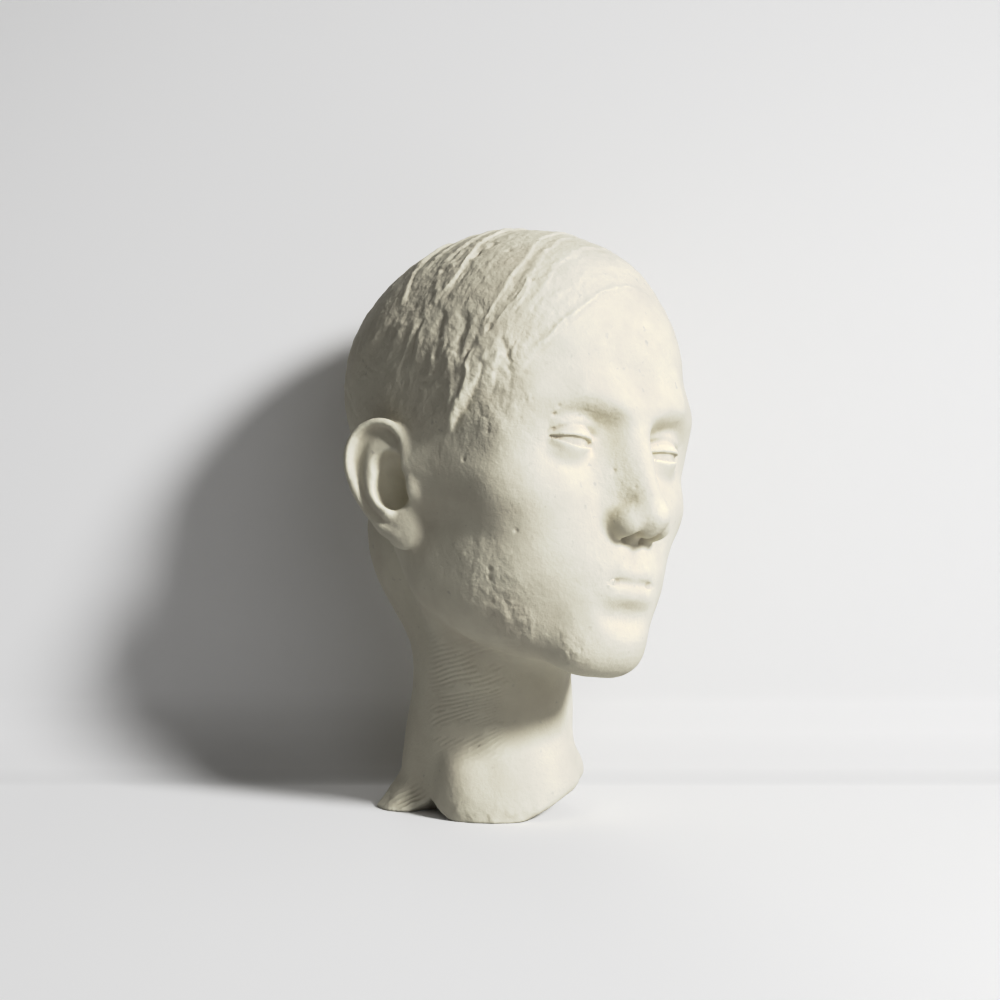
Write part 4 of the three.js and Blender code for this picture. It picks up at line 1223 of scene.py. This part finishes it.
@dataclass(frozen=True)
class PlasterFinish:
    """Cast plaster, warm off-white and matte, with uneven blotches and a fine dry grain; darker in hollows, from
    settled dust and painted shade, and lighter on crests, a painted highlight.
    """

    name: str = "plaster"
    clean: Triple = (0.711, 0.685, 0.564)
    # Darker tone for random blotches; in hollows it also stands for painted shade.
    stain_and_shade: Triple = (0.505, 0.455, 0.365)
    flecked: Triple = (0.40, 0.375, 0.32)
    roughness: float = 0.84
    blotches: float = 34.0  # noise scale: about one a 30 mm
    flecks: float = 260.0
    coarse: float = 430.0
    fine: float = 1300.0
    grain_height: float = 0.0005

    def tone(self) -> bpy.types.NodeTree:
        """The group that gives the plaster's colour at a place, given how hollow it is there: darker in hollows with
        dust and painted shade, lighter on crests as a painted highlight.
        """
        group = Shared(
            "plaster tone",
            {"Vector": "NodeSocketVector", "Hollow": "NodeSocketFloat"},
            {"Color": "NodeSocketColor"},
        )
        place = group.inside.outputs["Vector"]
        blotch = group.add("ShaderNodeTexNoise", Vector=place, Scale=self.blotches, Detail=5.0, Roughness=0.6)
        uneven = group.add("ShaderNodeMapRange", Value=blotch.outputs["Fac"], From_Min=0.38, From_Max=0.72)
        settled = group.math("MULTIPLY_ADD", uneven.outputs["Result"], 0.42, 0.15)
        # Hollows darken the colour towards the darker tone as settled dust and painted shade; crests, below nothing,
        # lighten it to the clean tone as a painted highlight.
        dust_shade_and_highlight = group.math("MULTIPLY_ADD", group.inside.outputs["Hollow"], 0.65, settled)
        tint = group.tree.nodes.new("ShaderNodeMix")
        tint.data_type = "RGBA"
        tint.inputs["A"].default_value = (*self.clean, 1)
        tint.inputs["B"].default_value = (*self.stain_and_shade, 1)
        group.join(dust_shade_and_highlight, tint.inputs["Factor"])
        fleck = group.add("ShaderNodeTexNoise", Vector=place, Scale=self.flecks, Detail=2.0)
        few = group.add("ShaderNodeMapRange", Value=fleck.outputs["Fac"], From_Min=0.68, From_Max=0.78, To_Max=0.5)
        speck = group.tree.nodes.new("ShaderNodeMix")
        speck.data_type = "RGBA"
        speck.inputs["B"].default_value = (*self.flecked, 1)
        group.join(tint.outputs["Result"], speck.inputs["A"])
        group.join(few.outputs["Result"], speck.inputs["Factor"])
        group.join(speck.outputs["Result"], group.outside.inputs["Color"])
        return group.tree

    def grain(self) -> bpy.types.NodeTree:
        """The group that gives the surface's direction, given how coarse its grain is."""
        group = Shared(
            "plaster grain",
            {"Vector": "NodeSocketVector", "Coarse": "NodeSocketFloat"},
            {"Normal": "NodeSocketVector"},
        )
        place = group.inside.outputs["Vector"]
        lumps = group.add("ShaderNodeTexNoise", Vector=place, Scale=self.coarse, Detail=3.0, Roughness=0.55)
        dust = group.add("ShaderNodeTexNoise", Vector=place, Scale=self.fine, Detail=2.0)
        raised = group.math("MULTIPLY", lumps.outputs["Fac"], group.inside.outputs["Coarse"])
        height = group.math("MULTIPLY_ADD", dust.outputs["Fac"], 0.12, raised)
        bump = group.add("ShaderNodeBump", Height=height, Strength=1.0, Distance=self.grain_height)
        group.join(bump.outputs["Normal"], group.outside.inputs["Normal"])
        return group.tree

    def make(self) -> bpy.types.Material:
        """Builds the material."""
        material = bpy.data.materials.new(self.name)
        material.use_nodes = True
        nodes, links = material.node_tree.nodes, material.node_tree.links
        shader = nodes["Principled BSDF"]
        shader.inputs["Roughness"].default_value = self.roughness
        shader.inputs["Specular IOR Level"].default_value = 0.3
        place = nodes.new("ShaderNodeTexCoord")
        # The tone reads the hollow values: dust and painted shade in hollows, a painted highlight on crests.
        for tree, reads, input_name, output_name, target in (
            (self.tone(), "hollow", "Hollow", "Color", "Base Color"),
            (self.grain(), "coarse", "Coarse", "Normal", "Normal"),
        ):
            group = nodes.new("ShaderNodeGroup")
            group.node_tree = tree
            value = nodes.new("ShaderNodeAttribute")
            value.attribute_name = reads
            links.new(place.outputs["Object"], group.inputs["Vector"])
            links.new(value.outputs["Fac"], group.inputs[input_name])
            links.new(group.outputs[output_name], shader.inputs[target])
        return material


@dataclass
class PlasterHead:
    """The one piece: the head with its hair, ears, neck and cut base."""

    form: Form = field(default_factory=Form)
    finish: PlasterFinish = field(default_factory=PlasterFinish)
    work: HandWork = field(default_factory=HandWork)
    first_voxel: float = 1.4
    voxel: float = 0.7
    quick_voxel: float = 0.9
    first_sweeps: int = 6
    sweeps: int = 2
    faces: int = 196000

    def build(self) -> bpy.types.Object:
        """Carves the piece out of a copy of the solid.

        Returns:
            The finished object, at the origin.
        """
        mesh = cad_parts[NODE].data.copy()
        piece = bpy.data.objects.new("plaster_head_carved", mesh)
        bpy.context.scene.collection.objects.link(piece)
        alone(piece)
        bpy.ops.object.mode_set(mode="EDIT")
        bpy.ops.mesh.select_all(action="SELECT")
        bpy.ops.mesh.remove_doubles(threshold=1e-6)
        bpy.ops.object.mode_set(mode="OBJECT")
        finish_with(piece, "REMESH", mode="VOXEL", voxel_size=self.first_voxel * MM)
        finish_with(piece, "SMOOTH", factor=0.5, iterations=4)
        write_points(piece.data, self.form.settle(read_points(piece.data), self.first_sweeps))
        voxel = self.voxel
        finish_with(piece, "REMESH", mode="VOXEL", voxel_size=voxel * MM)
        finish_with(piece, "SMOOTH", factor=0.5, iterations=2)
        points = self.form.settle(read_points(piece.data), self.sweeps)
        points += unit_rows(self.form.slope(points)) * self.relief(points)[:, None]
        low, high = (np.asarray(corner) / MM for corner in SOLID_BOX)
        write_points(piece.data, np.clip(points, low, high))
        count = sum(len(p.vertices) - 2 for p in piece.data.polygons)
        if count > self.faces:
            finish_with(piece, "DECIMATE", ratio=self.faces / count)
        alone(piece)
        bpy.ops.object.shade_smooth()
        head = self.form.in_head(Cloud.of(read_points(piece.data)))
        # The hollow values paint shade into the hollows and a highlight onto the crests, along with the dust.
        keep_values(piece.data, "hollow", hollows(piece.data))
        keep_values(piece.data, "coarse", self.work.grain(head, self.haired(head)))
        self.dress(piece)
        return piece

    def relief(self, points: Array) -> Array:
        """How far the finer carving stands out at each point, in millimetres."""
        cloud = Cloud.of(points)
        head = self.form.in_head(cloud)
        upper = ramp(head.z, -14, 6)
        hair = self.form.hair.relief(head) * (1 - self.near_ears(head))
        haired = self.haired(head)
        rise = upper * (hair + self.work.relief(head, haired))
        rise += (1 - upper) * self.work.uneven * rough(cloud, 13, 41, 3)
        rise += self.work.neck_relief(cloud)
        return rise * ramp(cloud.z, 0, 0.8)

    def haired(self, head: Cloud) -> Array:
        """How much of each point lies under hair, from 0 to 1."""
        return self.form.hair.covers(head, *self.form.hair.angles(head))[0] * (1 - self.near_ears(head))

    def near_ears(self, head: Cloud) -> Array:
        """How much of each point is on an ear, which the hair's strokes leave alone, from 0 to 1."""
        near, _, gap = self.form.ears.gap(head)
        share = np.zeros_like(head.x)
        share[near] = 1 - ramp(gap, 0.5, 4)
        return share

    def dress(self, piece: bpy.types.Object) -> None:
        """Gives the piece its material and its place in the frame."""
        piece.data.materials.clear()
        piece.data.materials.append(self.finish.make())
        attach(piece, "root")
        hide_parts(NODE)


@dataclass
class Studio:
    """A pale floor that curves up into a backdrop close behind, one large soft light, and the camera.

    The camera stands where the photograph was taken from: it sees the place `sees` at the pixel `pixel`.
    """

    azimuth: float = -44.0
    elevation: float = 4.0
    distance: float = 1204.0
    lens: float = 85.0
    sees: Triple = (0.0, 9.0, 154.0)
    pixel: tuple[float, float] = (492.0, 505.0)
    image: float = 1000.0
    sensor: float = 36.0
    wall: float = 99.0
    curve: float = 45.0
    floor_reach: float = 2200.0
    wall_height: float = 1900.0
    paper: Triple = (0.80, 0.80, 0.805)
    paper_bounce: float = 0.5
    # Painted light on the paper: lighter on the fold, where less light reaches it, and a little darker on the open
    # floor.
    fold_tones: tuple[tuple[float, float], ...] = ((0, 1.0), (0.17, 1.1), (0.5, 1.17), (0.87, 1.13), (1, 0.955))
    key_toward: Triple = (0.63, 0.47, 0.61)
    key_far: float = 2.5
    key_below: float = 0.25
    key_radius: float = 0.28
    key_cone: float = 46.0
    key_power: float = 285.0
    behind_power: float = 6.0
    front_power: float = 7.0
    room: Triple = (1.0, 0.955, 0.86)
    room_strength: float = 0.062
    tones: tuple[tuple[float, float], ...] = ((0.15, 0.15), (0.55, 0.63), (0.85, 0.825))

    def axes(self) -> tuple[Vector, Vector, Vector]:
        """The photograph's right, up and backward directions."""
        a, e = math.radians(self.azimuth), math.radians(self.elevation)
        back = Vector((math.sin(a) * math.cos(e), -math.cos(a) * math.cos(e), math.sin(e)))
        right = Vector((math.cos(a), math.sin(a), 0))
        return right, back.cross(right), back

    def way(self, toward: Triple) -> Vector:
        """A direction given as parts of the photograph's right, up and backward directions."""
        right, up, back = self.axes()
        return (right * toward[0] + up * toward[1] + back * toward[2]).normalized()

    def place_camera(self) -> None:
        """Sets the camera so that its frame is the photograph's."""
        right, up, back = self.axes()
        scale = self.distance * self.sensor / self.lens / self.image
        aim = Vector(self.sees)
        aim += right * (self.image / 2 - self.pixel[0]) * scale - up * (self.image / 2 - self.pixel[1]) * scale
        data = bpy.data.cameras.new("camera")
        data.lens = self.lens
        data.sensor_width = self.sensor
        data.clip_start = 0.05
        camera = bpy.data.objects.new("camera", data)
        camera.location = (aim + back * self.distance) * MM
        camera.rotation_euler = back.to_track_quat("Z", "Y").to_euler()
        bpy.context.scene.collection.objects.link(camera)
        bpy.context.scene.camera = camera

    def build_stage(self) -> bpy.types.Object:
        """Folds the floor up into the backdrop and rounds the fold."""
        bpy.ops.object.select_all(action="DESELECT")
        bpy.ops.mesh.primitive_plane_add(size=2 * self.floor_reach * MM)
        stage = bpy.context.active_object
        stage.name = "stage"
        bpy.ops.object.mode_set(mode="EDIT")
        bpy.ops.mesh.select_all(action="DESELECT")
        bpy.ops.object.mode_set(mode="OBJECT")
        reach = self.floor_reach * MM
        for vertex in stage.data.vertices:
            if vertex.co.y > 0:
                vertex.co.y = self.wall * MM
                vertex.select = True
        for edge in stage.data.edges:
            edge.select = all(stage.data.vertices[v].co.y > 0 for v in edge.vertices)
        bpy.ops.object.mode_set(mode="EDIT")
        bpy.ops.mesh.select_mode(type="EDGE")
        bpy.ops.mesh.extrude_region_move(TRANSFORM_OT_translate={"value": (0, 0, self.wall_height * MM)})
        bpy.ops.object.mode_set(mode="OBJECT")
        for edge in stage.data.edges:
            ends = [stage.data.vertices[v].co for v in edge.vertices]
            edge.select = all(abs(co.z) < 1e-6 and abs(co.y - self.wall * MM) < 1e-6 for co in ends)
        bpy.ops.object.mode_set(mode="EDIT")
        bpy.ops.mesh.bevel(offset=self.curve * MM, segments=24, affect="EDGES")
        bpy.ops.object.mode_set(mode="OBJECT")
        stage.rotation_euler = (0, 0, math.radians(self.azimuth))
        alone(stage)
        bpy.ops.object.transform_apply(location=True, rotation=True, scale=True)
        bpy.ops.object.shade_smooth()
        log.info("stage %.2f m wide", 2 * reach)
        stage.data.materials.append(self.paper_material())
        return stage

    def paper_material(self) -> bpy.types.Material:
        """Matte paper that can be looked through, and lit through, from behind."""
        material = bpy.data.materials.new("stage paper")
        material.use_nodes = True
        nodes, links = material.node_tree.nodes, material.node_tree.links
        shader = nodes["Principled BSDF"]
        shader.inputs["Roughness"].default_value = 0.9
        shader.inputs["Specular IOR Level"].default_value = 0.2
        geometry = nodes.new("ShaderNodeNewGeometry")
        path = nodes.new("ShaderNodeLightPath")
        shade = nodes.new("ShaderNodeMix")
        shade.data_type = "RGBA"
        shade.inputs["A"].default_value = (*self.paper, 1)
        shade.inputs["B"].default_value = (*(part * self.paper_bounce for part in self.paper), 1)
        links.new(path.outputs["Is Diffuse Ray"], shade.inputs["Factor"])
        # The paper is as bright on the fold as beside it: its tone goes against how squarely the key meets it.
        squarely = nodes.new("ShaderNodeVectorMath")
        squarely.operation = "DOT_PRODUCT"
        squarely.inputs[1].default_value = self.way(self.key_toward)
        links.new(geometry.outputs["Normal"], squarely.inputs[0])
        evened = nodes.new("ShaderNodeMath")
        evened.operation = "DIVIDE"
        evened.inputs[0].default_value = self.key_toward[2]
        links.new(squarely.outputs["Value"], evened.inputs[1])
        lying = nodes.new("ShaderNodeSeparateXYZ")
        links.new(geometry.outputs["Normal"], lying.inputs["Vector"])
        folded = nodes.new("ShaderNodeValToRGB")
        stops = folded.color_ramp.elements
        while len(stops) < len(self.fold_tones):
            stops.new(0.5)
        for stop, (place, tone) in zip(stops, self.fold_tones):
            stop.position = place
            stop.color = (tone, tone, tone, 1)
        links.new(lying.outputs["Z"], folded.inputs["Fac"])
        level = nodes.new("ShaderNodeMath")
        level.operation = "MULTIPLY"
        links.new(evened.outputs["Value"], level.inputs[0])
        links.new(folded.outputs["Color"], level.inputs[1])
        tone = nodes.new("ShaderNodeVectorMath")
        tone.operation = "SCALE"
        links.new(shade.outputs["Result"], tone.inputs[0])
        links.new(level.outputs["Value"], tone.inputs["Scale"])
        links.new(tone.outputs["Vector"], shader.inputs["Base Color"])
        either = nodes.new("ShaderNodeMath")
        either.operation = "MAXIMUM"
        links.new(geometry.outputs["Backfacing"], either.inputs[0])
        links.new(path.outputs["Is Shadow Ray"], either.inputs[1])
        clear = nodes.new("ShaderNodeBsdfTransparent")
        blend = nodes.new("ShaderNodeMixShader")
        links.new(either.outputs["Value"], blend.inputs["Fac"])
        links.new(shader.outputs["BSDF"], blend.inputs[1])
        links.new(clear.outputs["BSDF"], blend.inputs[2])
        links.new(blend.outputs["Shader"], nodes["Material Output"].inputs["Surface"])
        return material

    def hang(self, data: bpy.types.Light, toward: Triple, far: float, below: float = 0.0) -> None:
        """Hangs a light where it shines on the head.

        Args:
            data: the light.
            toward: the way to it, as parts of the photograph's right, up and backward directions.
            far: its distance from the head, in metres.
            below: how far under the middle of the head it is aimed, in metres.
        """
        way = self.way(toward)
        up = self.axes()[1]
        lamp = bpy.data.objects.new(data.name, data)
        lamp.location = Vector(self.sees) * MM + way * far
        lamp.rotation_euler = (way * far + up * below).to_track_quat("Z", "Y").to_euler()
        bpy.context.scene.collection.objects.link(lamp)

    def light(self) -> None:
        """Sets the key light, the light from behind and the even light of the room."""
        key = bpy.data.lights.new("key", "SPOT")
        key.shadow_soft_size = self.key_radius
        key.spot_size = math.radians(self.key_cone)
        key.spot_blend = 1.0
        key.energy = self.key_power
        self.hang(key, self.key_toward, self.key_far, self.key_below)
        for name, power, size, toward, far in (
            ("behind", self.behind_power, 0.9, (-0.15, 0.25, -0.95), 2.0),
            ("front", self.front_power, 1.5, (0.3, 0.25, 0.92), 3.0),
        ):
            lamp = bpy.data.lights.new(name, "AREA")
            lamp.shape = "DISK"
            lamp.size = size
            lamp.energy = power
            self.hang(lamp, toward, far)
        world = bpy.data.worlds.new("room")
        world.use_nodes = True
        world.node_tree.nodes["Background"].inputs["Color"].default_value = (*self.room, 1)
        world.node_tree.nodes["Background"].inputs["Strength"].default_value = self.room_strength
        bpy.context.scene.world = world
        self.expose()

    def expose(self) -> None:
        """Gives the picture the photograph's tones: full lights, gently held back at the top."""
        view = bpy.context.scene.view_settings
        view.view_transform = "Standard"
        view.use_curve_mapping = True
        curve = view.curve_mapping.curves[3]
        for bright, shown in self.tones:
            curve.points.new(bright, shown)
        view.curve_mapping.update()

    def build(self) -> None:
        """Sets up everything round the object."""
        self.place_camera()
        self.build_stage()
        self.light()


def main() -> None:
    """Builds the piece and the studio."""
    logging.basicConfig(level=logging.INFO, format="%(name)s: %(message)s")
    Studio().build()
    head = PlasterHead().build()
    faces = sum(len(p.vertices) - 2 for p in head.data.polygons)
    log.info("%s: %d triangles", head.name, faces)


if __name__ == "__main__":
    main()
